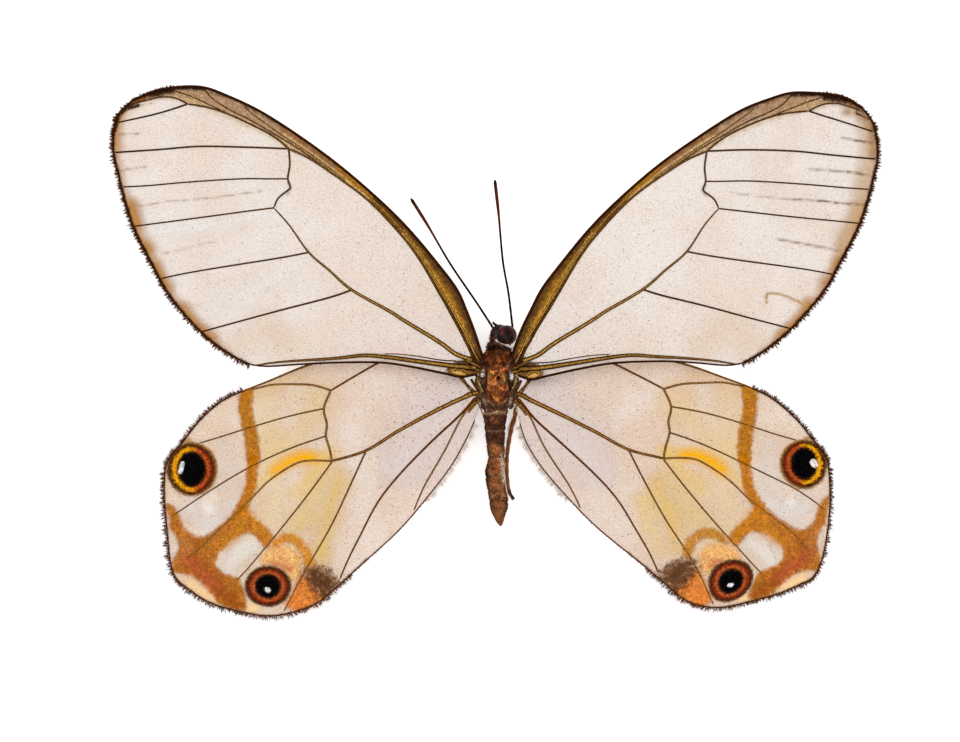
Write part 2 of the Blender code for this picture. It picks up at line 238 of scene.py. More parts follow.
HINDWING["pins"] = [
    (331, 390.5, 663.5, 389), (324, 408.5, 671, 406.5), (326, 436, 669.5, 432.5),
    (331.5, 461, 664, 458.5), (366, 451, 628.5, 450), (167, 517, 828.5, 510.5), (200, 548, 800, 541),
    (192, 470.5, 803.5, 464), (268.5, 586, 730.5, 581.5), (323, 579, 676, 571), (247, 390, 748, 387),
    (164.5, 478, 829, 473), (176, 578, 814, 576), (203, 600, 788, 590.5), (262, 615.5, 733, 605.5),
    (311, 605.5, 688, 601), (341, 583, 657, 576.5), (411, 515, 583.5, 512.5), (441, 480, 552, 480),
    (466, 440, 525, 440), (479, 409, 516.8, 412), (484.5, 393, 510, 394), (484, 400, 510.5, 401),
    (200, 420, 797, 420), (300, 368, 697, 368), (461, 377, 530, 378.5), (477.2, 394, 516.8, 395),
    (380, 355, 614, 357), (250, 500, 750, 500), (280.5, 530, 721, 530),
]


def smooth_line(points, step, closed=False):
    """Points about a step apart on a smooth curve through each of the given ones."""
    points = np.array(points, float)
    count = len(points)
    line = []
    for i in range(count if closed else count - 1):
        start, end = points[i], points[(i + 1) % count]
        before = points[i - 1] if closed or i else start
        after = points[(i + 2) % count] if closed or i + 2 < count else end
        parts = max(1, round(float(np.linalg.norm(end - start)) / step))
        for t in np.arange(parts) / parts:
            line.append(start + (end - before) * (t - 2 * t**2 + t**3) / 2
                        + (end - start) * (3 * t**2 - 2 * t**3)
                        + (after - start) * (t**3 - t**2) / 2)
    if not closed:
        line.append(points[-1])
    return np.array(line)


def stroke(points, line):
    """Distance from each point to a line."""
    nearest = np.full(len(points), 1e9)
    for start, end in zip(line[:-1], line[1:]):
        run = end - start
        share = np.clip(((points - start) @ run) / max(run @ run, 1e-9), 0, 1)
        gap = np.linalg.norm(points - (start + share[:, None] * run), axis=1)
        nearest = np.minimum(nearest, gap)
    return nearest


def patch(points, corners, rounded=True):
    """Distance from each point to the edge of a closed shape, less than 0 inside it."""
    loop = smooth_line(corners, 4, closed=True) if rounded else np.array(corners, float)
    loop = np.vstack([loop, loop[:1]])
    crossings = np.zeros(len(points), int)
    for start, end in zip(loop[:-1], loop[1:]):
        if start[1] == end[1]:
            continue
        spans = (start[1] > points[:, 1]) != (end[1] > points[:, 1])
        at = start[0] + (points[:, 1] - start[1]) * (end[0] - start[0]) / (end[1] - start[1])
        crossings += spans & (points[:, 0] < at)
    return stroke(points, loop) * np.where(crossings % 2 == 1, -1, 1)


FAR_OFF = 99


def measured(points, mark, reach):
    """Distance from each point to a mark's edge, or far off beyond reach of its corners."""
    line, half = mark[:2]
    near = ((points > np.min(line, axis=0) - reach) & (points < np.max(line, axis=0) + reach)).all(axis=1)
    gap = np.full(len(points), float(FAR_OFF))
    if half is None:
        gap[near] = patch(points[near], line)
    else:
        gap[near] = stroke(points[near], smooth_line(line, 5)) - half
    return gap


def pinned(pins):
    """The smooth bend of the paper that carries each left pin to its right place."""
    left, right = np.hsplit(np.array(pins, float), 2)

    def pull(points):
        squared = ((points[:, None] - left[None]) ** 2).sum(-1)
        return squared * np.log(squared + 1e-9)

    def flat(points):
        return np.column_stack([np.ones(len(points)), points])

    system = np.zeros((len(left) + 3, len(left) + 3))
    system[: len(left), : len(left)] = pull(left)
    system[: len(left), len(left):] = flat(left)
    system[len(left):, : len(left)] = flat(left).T
    weights = np.linalg.solve(system, np.vstack([right, np.zeros((3, 2))]))
    return lambda points: pull(points) @ weights[: len(left)] + flat(points) @ weights[len(left):]


def lie(wing, points, side, lift=0.0):
    """Paper points of a left wing set in space, on the left wing or on the right one."""
    points = np.asarray(points, float)
    placed = points if side == "left" else wing["bend"](points)
    x, y = on_paper(placed[:, 0], placed[:, 1])
    share = np.clip((abs(x) - ROOT_X) / (wing["lands_at"] - ROOT_X), 0, 1) ** wing["droop"]
    z = wing["root_z"] * (1 - 3 * share**2 + 2 * share**3) + wing["lift"]
    column, row = points.T
    swell = np.sin(column / 19 + row / 31) * np.sin(row / 17 - column / 43)
    rise = np.clip(share * 3, 0, 1)
    return np.column_stack([x, y, z + RIPPLE * swell * rise + lift])


def paint(mesh, paints):
    """Keeps painted values on a mesh's points."""
    for key, values in paints.items():
        mesh.attributes.new(key, "FLOAT", "POINT").data.foreach_set("value", values)


def make_mesh(name, points, faces, finish, paints=None):
    """A smooth-shaded mesh object with its painted values on its points."""
    mesh = bpy.data.meshes.new(name)
    mesh.from_pydata(np.asarray(points).tolist(), [], np.asarray(faces).tolist())
    paint(mesh, paints or {})
    mesh.shade_smooth()
    made = bpy.data.objects.new(name, mesh)
    made.data.materials.append(finish.material)
    bpy.context.scene.collection.objects.link(made)
    return made


WINGS = {"forewing": FOREWING, "hindwing": HINDWING}
for wing in WINGS.values():
    wing["bend"] = pinned(wing["pins"])
    wing["edge"] = smooth_line(wing["outline"], LATTICE, closed=True)
    wing["box"] = wing["edge"].min(axis=0), wing["edge"].max(axis=0)
    columns, rows = wing["edge"].T
    across = np.arange(columns.min(), columns.max(), LATTICE)
    down = np.arange(rows.min(), rows.max(), LATTICE * 0.866)
    field = np.array([(c + (i % 2) * LATTICE / 2, r) for i, r in enumerate(down) for c in across])
    field = field[patch(field, wing["edge"], rounded=False) < -LATTICE * 0.6]
    drawn = [Vector(point) for point in np.vstack([wing["edge"], field])]
    rim = [(i, (i + 1) % len(wing["edge"])) for i in range(len(wing["edge"]))]
    plan, _, faces, *_ = delaunay_2d_cdt(drawn, rim, [], 1, 1e-4)
    wing["plan"] = np.array([tuple(point) for point in plan])
    wing["faces"] = np.array(faces)

# Markings, drawn on the paper. Each is a line with its half width or a closed shape, a
# colour, how soft its edge is and how ragged, in squares, and its strength. A name that
# begins with a side is on that side's wing alone. A mark softer than WASH is a thin wash.
WASH = 10
COSTA = [(485, 364), *FOREWING["outline"][2:9:2], *FOREWING["outline"][9:20]]
FORE_EDGE = FOREWING["outline"][19:31]
HIND_EDGE = HINDWING["outline"][11:33]
RADIUS_VEIN = [(474, 360), (470, 350), (460, 330), (449, 310), (440, 294), (420, 260),
               (400, 233.5), (370, 202), (340, 179), (310, 159), (289, 149)]
STALK = [(289, 149), (280, 141), (268, 133), (250, 124), (228, 114), (208, 107.5), (188, 104)]
UPPER_FORK = [(188, 104), (175, 98), (162, 97), (148, 100), (131, 104)]
FOREWING["marks"] = {
    "smoke": (COSTA[8:] + [(128, 104), (148, 100), (175, 98), (188, 104), (228, 114), (268, 133),
        (289, 149), (310, 159), (340, 179)], None, (180, 138, 94), 3, 2.5, 0.86),
    "smoke light": ([(296, 149), (268, 134), (240, 121), (214, 109), (190, 101), (168, 97)],
        2.2, (212, 182, 132), 5, 4, 0.7),
    "smoke edge": (COSTA[7:13], 2.6, (98, 66, 38), 3.4, 3, 0.9),
    "tip warm": ([(150, 101), (134, 106), (122, 116)], 2.4, (222, 176, 122), 10.4, 3, 0.8),
    "costal cell": (COSTA[:9] + [(340, 179), (370, 202), (400, 233.5), (420, 260), (440, 294), (449, 310),
        (460, 330), (470, 350), (476, 362)], None, (176, 122, 34), 1.2, 1.0, 1.0),
    "costal edge": (COSTA[0:8], 6.4, (92, 62, 34), 5, 6, 1.0),
    "front gold": ([(345, 173.5), (320, 155.3), (298, 139.8), (283, 130.5)],
        2.6, (152, 100, 44), 4, 3, 0.8),
    "front streak": ([(368, 199), (341, 176.8), (317.5, 158.8), (296, 143.2), (284, 135.2)],
        1.3, (238, 202, 146), 1.8, 1.2, 0.8),
    "costal gold": ([(471, 346), (462, 330), (452, 310), (441, 291), (424, 262), (404, 234)],
        1.6, (236, 184, 92), 2, 3, 1.0),
    "hinge lobe": ([(446, 371), (448.5, 368.5), (452.6, 364), (457, 361), (462, 361.5), (469, 363),
        (480, 360), (488, 368), (488, 375), (458, 378), (446, 374)], None, (128, 86, 34), 2.4, 2, 1.0),
    "hinge oval": ([(451, 371), (456, 367.5), (463, 369), (470, 373.5), (466, 375.5), (457, 374.5)],
        None, (212, 166, 84), 1.5, 1, 1.0),
    "hinge arch": ([(445, 372), (448.4, 368.6), (452.6, 364), (457, 361), (461, 361.5), (468.4, 364)],
        0.7, (60, 34, 14), 1.2, 0.8, 1.0),
    "hinge fold": ([(478, 374.5), (470, 376), (458, 375.8)], 0.9, (30, 18, 12), 1.5, 1, 1.0),
    "hinge web": ([(486, 366), (476, 357), (468, 358.5), (463, 362), (470, 367)],
        None, (112, 76, 34), 2.4, 3, 1.0),
    "hinge specks": ([(472, 366), (479, 367), (484, 371)], 3.4, (46, 30, 20), 3, 9, 0.9),
    "hinge streak": ([(482, 364), (472, 362), (458, 362)], 1.6, (70, 44, 24), 2, 3, 0.9),
    "hinge streak 2": ([(482, 370), (472, 368), (450, 367)], 1.2, (64, 40, 22), 2, 3, 0.85),
    "elbow": ([(289, 183), (291, 188), (287, 194)], 1.2, (104, 70, 44), 3, 2, 0.8),
    "margin glow": (FORE_EDGE[1:11], 3.8, (196, 138, 74), 10.4, 2, 0.95),
    "tip smear": ([(117, 120), (116, 134), (117, 146)], 4.6, (196, 130, 46), 11.5, 3, 0.9),
    "upper smear": ([(131, 208), (139, 232), (147, 250)], 8.0, (186, 130, 66), 10.2, 3, 0.95),
    "middle smear": ([(156, 266), (160, 276), (168, 286)], 6.6, (188, 132, 70), 10.2, 3, 0.95),
    "lower smear": ([(184, 310), (196, 326), (212, 340)], 6.6, (190, 134, 74), 10.2, 3, 0.95),
    "warm corner": ([(238, 345), (265, 330), (290, 345)], 10, (238, 210, 180), 34, 5, 0.7),
    "hinge dark": ([(471, 358), (478, 364)], 2.6, (44, 27, 17), 3, 3, 0.95),
    "tip dark": ([(172, 90.5), (152, 94), (136, 100.5), (124, 109)], 3.6, (64, 38, 16), 2.4, 2.4, 1.0),
    "tip margin": ([(203, 88), (180, 87), (155, 91), (132, 101), (119, 114), (114, 130)],
        3.2, (34, 18, 8), 2.4, 1.6, 1.0),
    "tip streak": ([(150, 97.5), (142, 99.5), (130, 103)], 1.2, (150, 96, 48), 2, 1.2, 0.9),
    "tip streak 2": ([(139.5, 105.3), (131, 108), (121, 111.5)], 1.6, (72, 42, 20), 1.8, 1.0, 1.0),
    "fold 1": ([(114, 134.5), (122, 134.2), (130, 134), (139, 133.5)], 0.9, (146, 104, 66), 2, 1.6, 0.8),
    "fold 2": ([(119, 172), (128, 169.4), (136, 168), (146, 167)], 0.9, (164, 126, 90), 2, 1.6, 0.75),
    "fold 3": ([(130, 207), (150, 204.5), (167, 201.5), (200, 199), (226, 196), (262, 191)],
        0.8, (168, 138, 106), 1.8, 1.6, 0.75),
    "fold 4": ([(148, 258), (176, 250.5), (216, 241)], 0.7, (190, 160, 132), 2.4, 2, 0.6),
    "left fold 5": ([(185, 310), (205, 302), (240, 291)], 0.5, (196, 168, 142), 3, 2, 0.6),
    "right haze": ([(128, 112), (123, 140), (128, 172), (133, 200), (142, 226), (150, 246)],
        7, (208, 176, 140), 15, 4, 0.9),
    "right smoke": ([(152, 104), (138, 107), (124, 115), (119, 128), (118, 150)],
        3, (158, 120, 84), 7, 4, 0.8),
    "right fold 1": ([(117, 134.6), (136, 133), (153, 130.8)], 1.0, (92, 62, 40), 2.2, 1.6, 0.8),
    "right fold 2": ([(122, 171), (140, 168.5), (168, 166), (186, 165.5)],
        1.1, (112, 80, 56), 2.4, 2, 0.8),
    "right fold 3": ([(129, 205), (150, 203.3), (176, 200), (200, 198.5)],
        1.0, (108, 78, 54), 2, 1.6, 0.8),
    "right fold 4": ([(150, 257), (168, 251), (192, 246), (216, 241)],
        0.9, (142, 108, 76), 2.2, 1.6, 0.8),
    "left cloud 1": ([(150, 232), (200, 226), (262, 214)], 5, (246, 241, 238), 16, 6, 0.8),
    "left cloud 2": ([(300, 262), (250, 292), (212, 300)], 6, (246, 242, 239), 18, 6, 0.7),
    "right hook": ([(227, 306), (227.2, 297), (224, 296), (212, 298), (198, 304), (184, 311)],
        1.1, (198, 156, 92), 1.6, 1.2, 0.9),
    "margin": (FORE_EDGE[1:], 1.6, (62, 38, 20), 2, 2, 1.0),
}
HINDWING["marks"] = {
    "below spot": ([(190, 508), (208, 521), (232, 504)], 7, (230, 219, 212), 16, 6, 0.9),
    "beside spot": ([(226, 446), (228, 470), (226, 488)], 6, (231, 218, 208), 20, 8, 0.7),
    "oval": ([(229, 566), (240, 553), (252, 545)], 9, (232, 220, 208), 12, 4, 0.95),
    "bottom pale": ([(190, 585), (212, 597), (232, 605), (254, 608)], 6.5, (250, 210, 156), 11, 4, 1.0),
    "outer tint": ([(262, 400), (265, 440), (275, 480), (270, 520)], 10, (240, 212, 168), 36, 8, 0.9),
    "inner tint": ([(455, 400), (430, 430), (400, 465)], 26, (228, 211, 206), 50, 8, 0.8),
    "glow 1": ([(338, 484), (332, 508), (326, 536), (321, 556)], 9, (231, 192, 110), 20, 8, 0.9),
    "right wash": ([(354, 503), (348, 530), (338, 556)], 7, (240, 208, 136), 18, 8, 0.75),
    "glow 2": ([(322, 482), (305, 512), (290, 535)], 8, (232, 200, 132), 20, 8, 0.8),
    "glow 3": ([(318, 402), (300, 430), (268, 452)], 14, (240, 208, 150), 26, 8, 0.6),
    "glow 4": ([(300, 375), (270, 384), (248, 396)], 7, (230, 190, 140), 14, 6, 0.6),
    "glow 5": ([(330, 455), (318, 470), (300, 490)], 5, (244, 200, 88), 20, 6, 0.8),
    "streak glow": ([(256, 485), (268, 475), (282, 465), (300, 457.5), (326, 459)],
        3.0, (240, 196, 96), 15, 2, 0.9),
    "streak": ([(276, 470.5), (284, 465), (293, 460), (303, 457), (312, 457.5)],
        5.4, (252, 180, 0), 10.2, 1, 1.0),
    "peach": ([(262, 556), (274, 546), (290, 546), (300, 556), (303, 572), (292, 580), (280, 566),
        (264, 566)], None, (255, 194, 116), 7, 5, 0.9),
    "orange": ([(286, 604), (292, 592), (304, 572), (314, 586), (326, 598), (310, 608), (296, 612)],
        None, (236, 138, 50), 5, 4, 0.95),
    "orange core": ([(308, 580), (316, 592)], 3.0, (196, 88, 32), 5, 4, 0.8),
    "dark patch": ([(305, 565.5), (317, 565), (328, 571), (339, 581), (333, 592), (324, 599), (315, 592),
        (305, 578)], None, (158, 98, 50), 6, 9, 0.95),
    "dark specks": ([(307, 567), (317, 566.5), (328, 572.5), (338, 581), (332, 591), (324, 597),
        (316, 590), (307, 578)], None, (42, 24, 16), 5, 16, 0.66),
    "red specks": ([(270, 568), (279, 563), (290, 568)], 2.0, (206, 92, 54), 5, 7, 0.7),
    "left arm": ([(276, 543), (285, 538), (294, 539), (302, 546), (307, 555), (309, 562)],
        4.8, (222, 146, 28), 4, 4, 0.92),
    "right arm": ([(279, 540), (287, 534.5), (297, 534.5), (306, 541), (311, 550), (313, 558)],
        4.8, (206, 136, 34), 4, 4, 0.92),
    "brown field": ([(246, 505), (252, 516), (266, 527), (273, 538), (266, 548), (257, 537), (250, 533),
        (240, 535), (230, 542), (220, 552), (216, 566), (226, 574), (240, 580), (246, 600), (243, 610),
        (222, 605), (212, 593), (196, 578), (184, 574), (172, 571), (174, 558), (179, 549), (178, 540),
        (171, 530), (169, 518), (166, 503), (171, 504), (178, 513), (183, 525), (188, 532), (196, 536),
        (205, 536), (214, 530), (226, 520), (237, 508)], None, (194, 116, 20), 3, 3, 0.96),
    "arm light": ([(268, 538), (256, 524), (246, 514), (238, 532), (222, 547)],
        4.5, (216, 142, 38), 9, 4, 0.8),
    "brown stain": ([(196, 548), (192, 562), (206, 572), (228, 592), (238, 604)],
        7, (162, 86, 24), 9, 8, 0.55),
    "pink stain": ([(182, 540), (188, 547), (184, 556)], 3.5, (204, 138, 84), 9, 6, 0.5),
    "red stain": ([(190, 560), (204, 573), (216, 588)], 5.5, (198, 96, 56), 9, 7, 0.85),
    "rust stain": ([(218, 590), (230, 600), (240, 606)], 4.5, (168, 82, 26), 9, 6, 0.6),
    "pale margin": ([(173, 534), (174, 546), (172, 556)], 1.6, (226, 202, 180), 3, 3, 0.8),
    "band top": ([(247, 389), (246, 400), (246, 412), (248, 422), (251, 434), (253, 448), (253.5, 460)],
        7.0, (194, 122, 10), 2.4, 3, 0.96),
    "band low": ([(253.5, 460), (252, 474), (251, 486), (247, 498), (241, 508)],
        5.4, (200, 122, 8), 2.4, 3, 0.96),
    "upper tuft": ([(186, 440), (190, 444)], 3.5, (176, 118, 50), 5, 4, 0.8),
    "bright dot": ([(207, 508), (210, 509)], 3.0, (252, 249, 247), 10.5, 1, 1.0),
    "margin": (HIND_EDGE[:18], 0.9, (72, 38, 14), 2, 2, 0.9),
}
# Eyespots: middle, half size of the black and of the outermost ring, the ring's place on the
# scale below, how much taller each side's is, and each pupil as a line with its half width
FOREWING["eyespots"] = {}
HINDWING["eyespots"] = {
    "upper": dict(middle=(192.2, 469.2), half=(14.0, 17.4), outer=(25.6, 27.0), reach=1.74,
                  tall={"left": 1, "right": 1},
                  pupils={"left": ([(183, 463), (180.6, 472)], 2.1),
                          "right": ([(181.5, 468), (180.5, 470)], 3.9)}),
    "lower": dict(middle=(268.3, 586), half=(12.4, 11.6), outer=(23.6, 20.8), reach=1.84,
                  tall={"left": 1, "right": 1.18},
                  pupils={"left": ([(267, 589), (269, 590)], 2.3),
                          "right": ([(267, 590), (269.5, 590)], 2.4)}),
}
# Colours outwards: 1 is the edge of the black
RING_SEATS = {
    "upper outer": [(0.96, (3, 2, 4)), (1.04, (70, 34, 12)), (1.12, (250, 172, 16)),
        (1.31, (254, 184, 24)), (1.38, (112, 58, 18)), (1.48, (50, 24, 14)), (1.58, (92, 54, 22)),
        (1.74, (160, 110, 44))],
    "upper inner": [(0.95, (3, 2, 4)), (1.05, (150, 70, 30)), (1.14, (218, 100, 34)),
        (1.26, (176, 64, 24)), (1.38, (100, 34, 18)), (1.5, (72, 32, 18)), (1.6, (140, 88, 26)),
        (1.7, (172, 116, 44))],
    "lower": [(0.92, (5, 3, 5)), (1.05, (96, 44, 26)), (1.17, (204, 108, 50)), (1.34, (166, 58, 26)),
        (1.5, (104, 40, 20)), (1.64, (66, 36, 18)), (1.84, (138, 92, 40))],
}


MARK_REACH = 24
BARE_FROM, BARE_RUN = 330, 150


def painted(wing, points):
    """Every painted value of a wing at the given paper points, for the left and the right wing."""
    paints = {name: measured(points, mark, MARK_REACH) for name, mark in wing["marks"].items()}
    paints["bare"] = np.clip((points[:, 0] - BARE_FROM) / BARE_RUN, 0, 1)
    both = {}
    for side, other in (SIDES, SIDES[::-1]):
        both[side] = {name: values + FAR_OFF if name.startswith(other) else values
                      for name, values in paints.items()}
        for name, spot in wing["eyespots"].items():
            offset = (points - spot["middle"]) / (1, spot["tall"][side])
            inner = np.linalg.norm(offset / spot["half"], axis=1)
            outer = np.linalg.norm(offset / spot["outer"], axis=1) * spot["reach"]
            shown = inner + (outer - inner) * np.clip((inner - 1) * 2, 0, 1)
            both[side][name + " spot"] = shown
            both[side][name + " side"] = -offset[:, 0] / spot["half"][0] / np.maximum(shown, 0.05)
            line, half = spot["pupils"][side]
            both[side][name + " pupil"] = stroke(points, np.array(line, float)) - half
    return both


# The film's colour outwards and near the body
FOREWING["tones"] = (241, 231, 223), (239, 227, 218)
HINDWING["tones"] = (235, 213, 192), (237, 223, 218)
FILM_COVER = 0.58


def film(colour):
    """The colour of a half-clear film that is seen as the given one over the white sheet."""
    wanted = seen(*colour)[:3]
    return (*[min(1, max(0, (light - (1 - FILM_COVER) * (light * 0.7 + 0.36)) / FILM_COVER))
              for light in wanted], 1)


def wing_finish(wing_name, opaque=False):
    """Membrane or scales of one pair of wings: tinted film with its markings laid over it."""
    finish = Finish(wing_name + ("_scales" if opaque else "_membrane"), Roughness=0.6,
                    Specular_IOR_Level=0.0 if opaque else 0.04)
    fine = finish.grain(0.10 * MM, detail=3, roughness=0.7)
    mottle = finish.grain(0.35 * MM, detail=3)
    haze = finish.grain(4.0 * MM, detail=2)
    wing = WINGS[wing_name]
    tone = finish.mix(*[film(colour) for colour in wing["tones"]], finish.value("bare"))
    tone = finish.mix(tone, film((238, 214, 192)), haze.over(0.45, 0.8) * 0.4)
    tone = finish.mix(tone, film((247, 243, 240)), (1 - haze.over(0.25, 0.55)) * 0.55)
    tone = finish.mix(tone, film((180, 152, 134)), fine.over(0.50, 0.72) * 0.54)
    tone = finish.mix(tone, film((255, 250, 246)), (1 - fine.over(0.30, 0.50)) * 0.7)
    cover = 0
    ragged = (fine - 0.5) * 1.2 + (mottle - 0.5) * 0.9
    dither = (finish.value("shade") - 0.5) * (0.8 if opaque else 0)
    cloud = finish.grain(2.2 * MM, detail=2)
    for name, (_, _, colour, soft, rag, strength) in wing["marks"].items():
        waver = (cloud - 0.5) * (2.5 * rag) if soft > WASH else (ragged + dither) * (2 * rag)
        amount = (1 - (finish.value(name) + waver).over(-soft / 2, soft / 2)) * strength
        if soft > WASH:
            speckled = finish.mix(seen(*colour), toned(colour, 0.84), fine.over(0.48, 0.70))
        else:
            speckled = finish.mix(seen(*colour), toned(colour, 0.68), fine.over(0.50, 0.75))
            speckled = finish.mix(speckled, toned(colour, 1.15), mottle.over(0.50, 0.72))
        tone = finish.mix(tone, speckled, amount)
        cover = amount.math("MAXIMUM", cover)
    for name, spot in wing["eyespots"].items():
        out = finish.value(name + " spot") + (fine - 0.5) * 0.60 + (mottle - 0.5) * 0.10
        if opaque:
            out = out + (finish.value("shade") - 0.5) * 0.20
        rings = []
        for seat in [key for key in RING_SEATS if key.startswith(name)]:
            ramp = finish.node("ShaderNodeValToRGB", None, {"Fac": out * 0.5})
            stops = ramp.color_ramp.elements
            for i, (at, colour) in enumerate(RING_SEATS[seat]):
                stop = stops[i] if i < 2 else stops.new(0.99)
                stop.position = at / 2
                stop.color = seen(*colour)
            rings.append(Shade(finish, ramp.outputs[0]))
        ring = rings[0]
        if len(rings) == 2:
            ring = finish.mix(rings[1], ring, finish.value(name + " side").over(-0.35, 0.1))
        ring = finish.mix(ring, seen(245, 243, 244),
                          1 - (finish.value(name + " pupil") + ragged * 0.6).over(-0.3, 0.3))
        specks = finish.grain(0.16 * MM, detail=1)
        ring = finish.mix(ring, (0.35, 0.30, 0.25, 1), specks.over(0.56, 0.62) * 0.5, "MULTIPLY")
        amount = 1 - out.over(spot["reach"] - 0.06, spot["reach"] + 0.04)
        tone = finish.mix(tone, ring, amount)
        cover = cover.math("MAXIMUM", amount)
    if opaque:
        shade = finish.value("shade")
        tone = finish.mix(tone, (0.45, 0.42, 0.40, 1), shade.over(0.55, 0.95), "MULTIPLY")
        tone = finish.mix(tone, (1.5, 1.42, 1.3, 1), 1 - shade.over(0.0, 0.35), "MULTIPLY")
    finish.feed("Base Color", tone)
    if not opaque:
        finish.feed("Alpha", cover * (1 - FILM_COVER) + FILM_COVER)
        ripple = finish.node("ShaderNodeTexWave", {"bands_direction": "DIAGONAL"},
                             {"Vector": finish.place(), "Scale": 1 / (1.1 * MM), "Distortion": 6.0,
                              "Detail": 2.0, "Detail Scale": 1.5})
        finish.bump(Shade(finish, ripple.outputs["Fac"]) * 0.4 + fine * 0.6, 0.25, 0.03 * MM)
    return finish


for wing_name, wing in WINGS.items():
    membrane_finish = wing_finish(wing_name)
    for side, paints in painted(wing, wing["plan"]).items():
        faces = wing["faces"] if side == "left" else wing["faces"][:, ::-1]
        membrane = make_mesh(f"membrane_{wing_name}_{side}", lie(wing, wing["plan"], side), faces,
                             membrane_finish, paints)
        bpy.context.view_layer.objects.active = membrane
        thick = membrane.modifiers.new("thickness", "SOLIDIFY")
        thick.thickness = SHEET
        thick.offset = 0
        bpy.ops.object.modifier_apply(modifier=thick.name)
        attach(membrane, "root")
        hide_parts(f"{wing_name}_{side}")


# Veins: hollow tubes of thick chitin standing on the film, amber with dark walls near the
# thorax and thin and dark outwards. Each is a line with its width at both ends, in squares,
# and its share of amber at both ends.
VEIN_SIDES = 8
VEIN_SPARE = 0.4
FOREWING["veins"] = [
    (RADIUS_VEIN, 2.6, 1.9, 0.1, 0.35), (STALK, 1.9, 1.5, 0.3, 0.1), (UPPER_FORK, 1.5, 1.1, 0.1, 0),
    ([(188, 104), (170, 110), (150, 115.5), (118, 122.5)], 1.5, 1.2, 0.1, 0),
    ([(139, 106), (122, 111)], 1.2, 1.0, 0, 0),
    ([(228, 113.5), (210, 105), (190, 96), (172, 90)], 1.3, 1.1, 0.2, 0),
    ([(330, 171), (300, 149.7), (280, 137.5), (250, 120), (230, 110), (213, 99), (204, 89)],
     1.5, 1.2, 0.3, 0.1),
    ([(345, 180), (320, 161), (300, 147), (280, 134), (262, 121), (250, 112), (244, 105.5)],
     1.6, 1.2, 0.9, 0.4),
    ([(476, 357), (472, 348), (469, 340), (460.5, 326), (452, 310), (442, 291.5), (423, 259.5),
      (403, 232), (388, 214.5), (362, 190)], 2.4, 1.3, 1.0, 1.0),
    ([(289, 149), (250, 147.5), (200, 146.5), (160, 149.5), (115, 152.5)], 1.6, 1.4, 0.2, 0),
    ([(288, 179), (270, 179), (240, 179), (190, 182), (150, 185.5), (122, 187)], 1.2, 1.1, 0.2, 0),
    ([(274, 208), (250, 211), (190, 219), (134, 226.3)], 1.3, 1.1, 0.2, 0),
    ([(289, 149), (290, 165), (288, 179), (290.5, 188), (284, 193.5), (278, 199), (274, 208)],
     1.7, 1.5, 0.2, 0.2),
    ([(472, 360), (456, 354), (443, 344.5), (430.5, 336.5), (418, 329), (400, 318), (390, 311.5),
      (352, 290), (330, 271),
      (309, 252.5), (290, 226), (274, 208)], 4.4, 1.0, 0.95, 0.3),
    ([(309, 252.5), (280, 258), (220, 267.5), (185, 273.5), (160.5, 278.7)], 1.5, 1.1, 0.2, 0),
    ([(352, 290), (330, 297.5), (280, 310.5), (230, 324), (201, 332)], 1.7, 1.2, 0.1, 0),
    ([(476, 368), (450, 365.5), (420, 361.5), (390, 357.5), (365, 355.5), (340, 358), (310, 360),
      (280, 362), (255, 365.5)], 5.6, 1.2, 0.75, 0.3),
    ([(456, 361), (440, 360), (420, 356.6), (400, 354.2), (384, 353.8)], 1.0, 0.7, 0.1, 0.3),
    ([(477, 374), (470, 375.5), (460, 376.8), (440, 372.5), (410, 366.5), (380, 362.5),
      (340, 362.5), (300, 364.3), (268, 366.3), (250, 364.5)], 2.2, 1.2, -0.8, 0.0),
    (COSTA, 2.6, 2.4, -0.3, -0.6),
    (FORE_EDGE, 1.7, 1.5, -0.7, -0.5),
    ([(467, 372), (460, 368.5), (453, 371)], 2.6, 2.0, 1, 1),
    ([(486, 367), (479, 361), (474, 352)], 5.5, 3.0, 0.5, 0.8),
    ([(486, 370), (478, 366), (466, 360)], 4.5, 4.0, 0.2, 0.7),
    ([(484, 372), (474, 369), (458, 366)], 3.4, 3.0, 0.7, 0.5),
    ([(468, 374), (462, 370.5), (453, 368.5)], 2.6, 2.0, 1, 1),
]
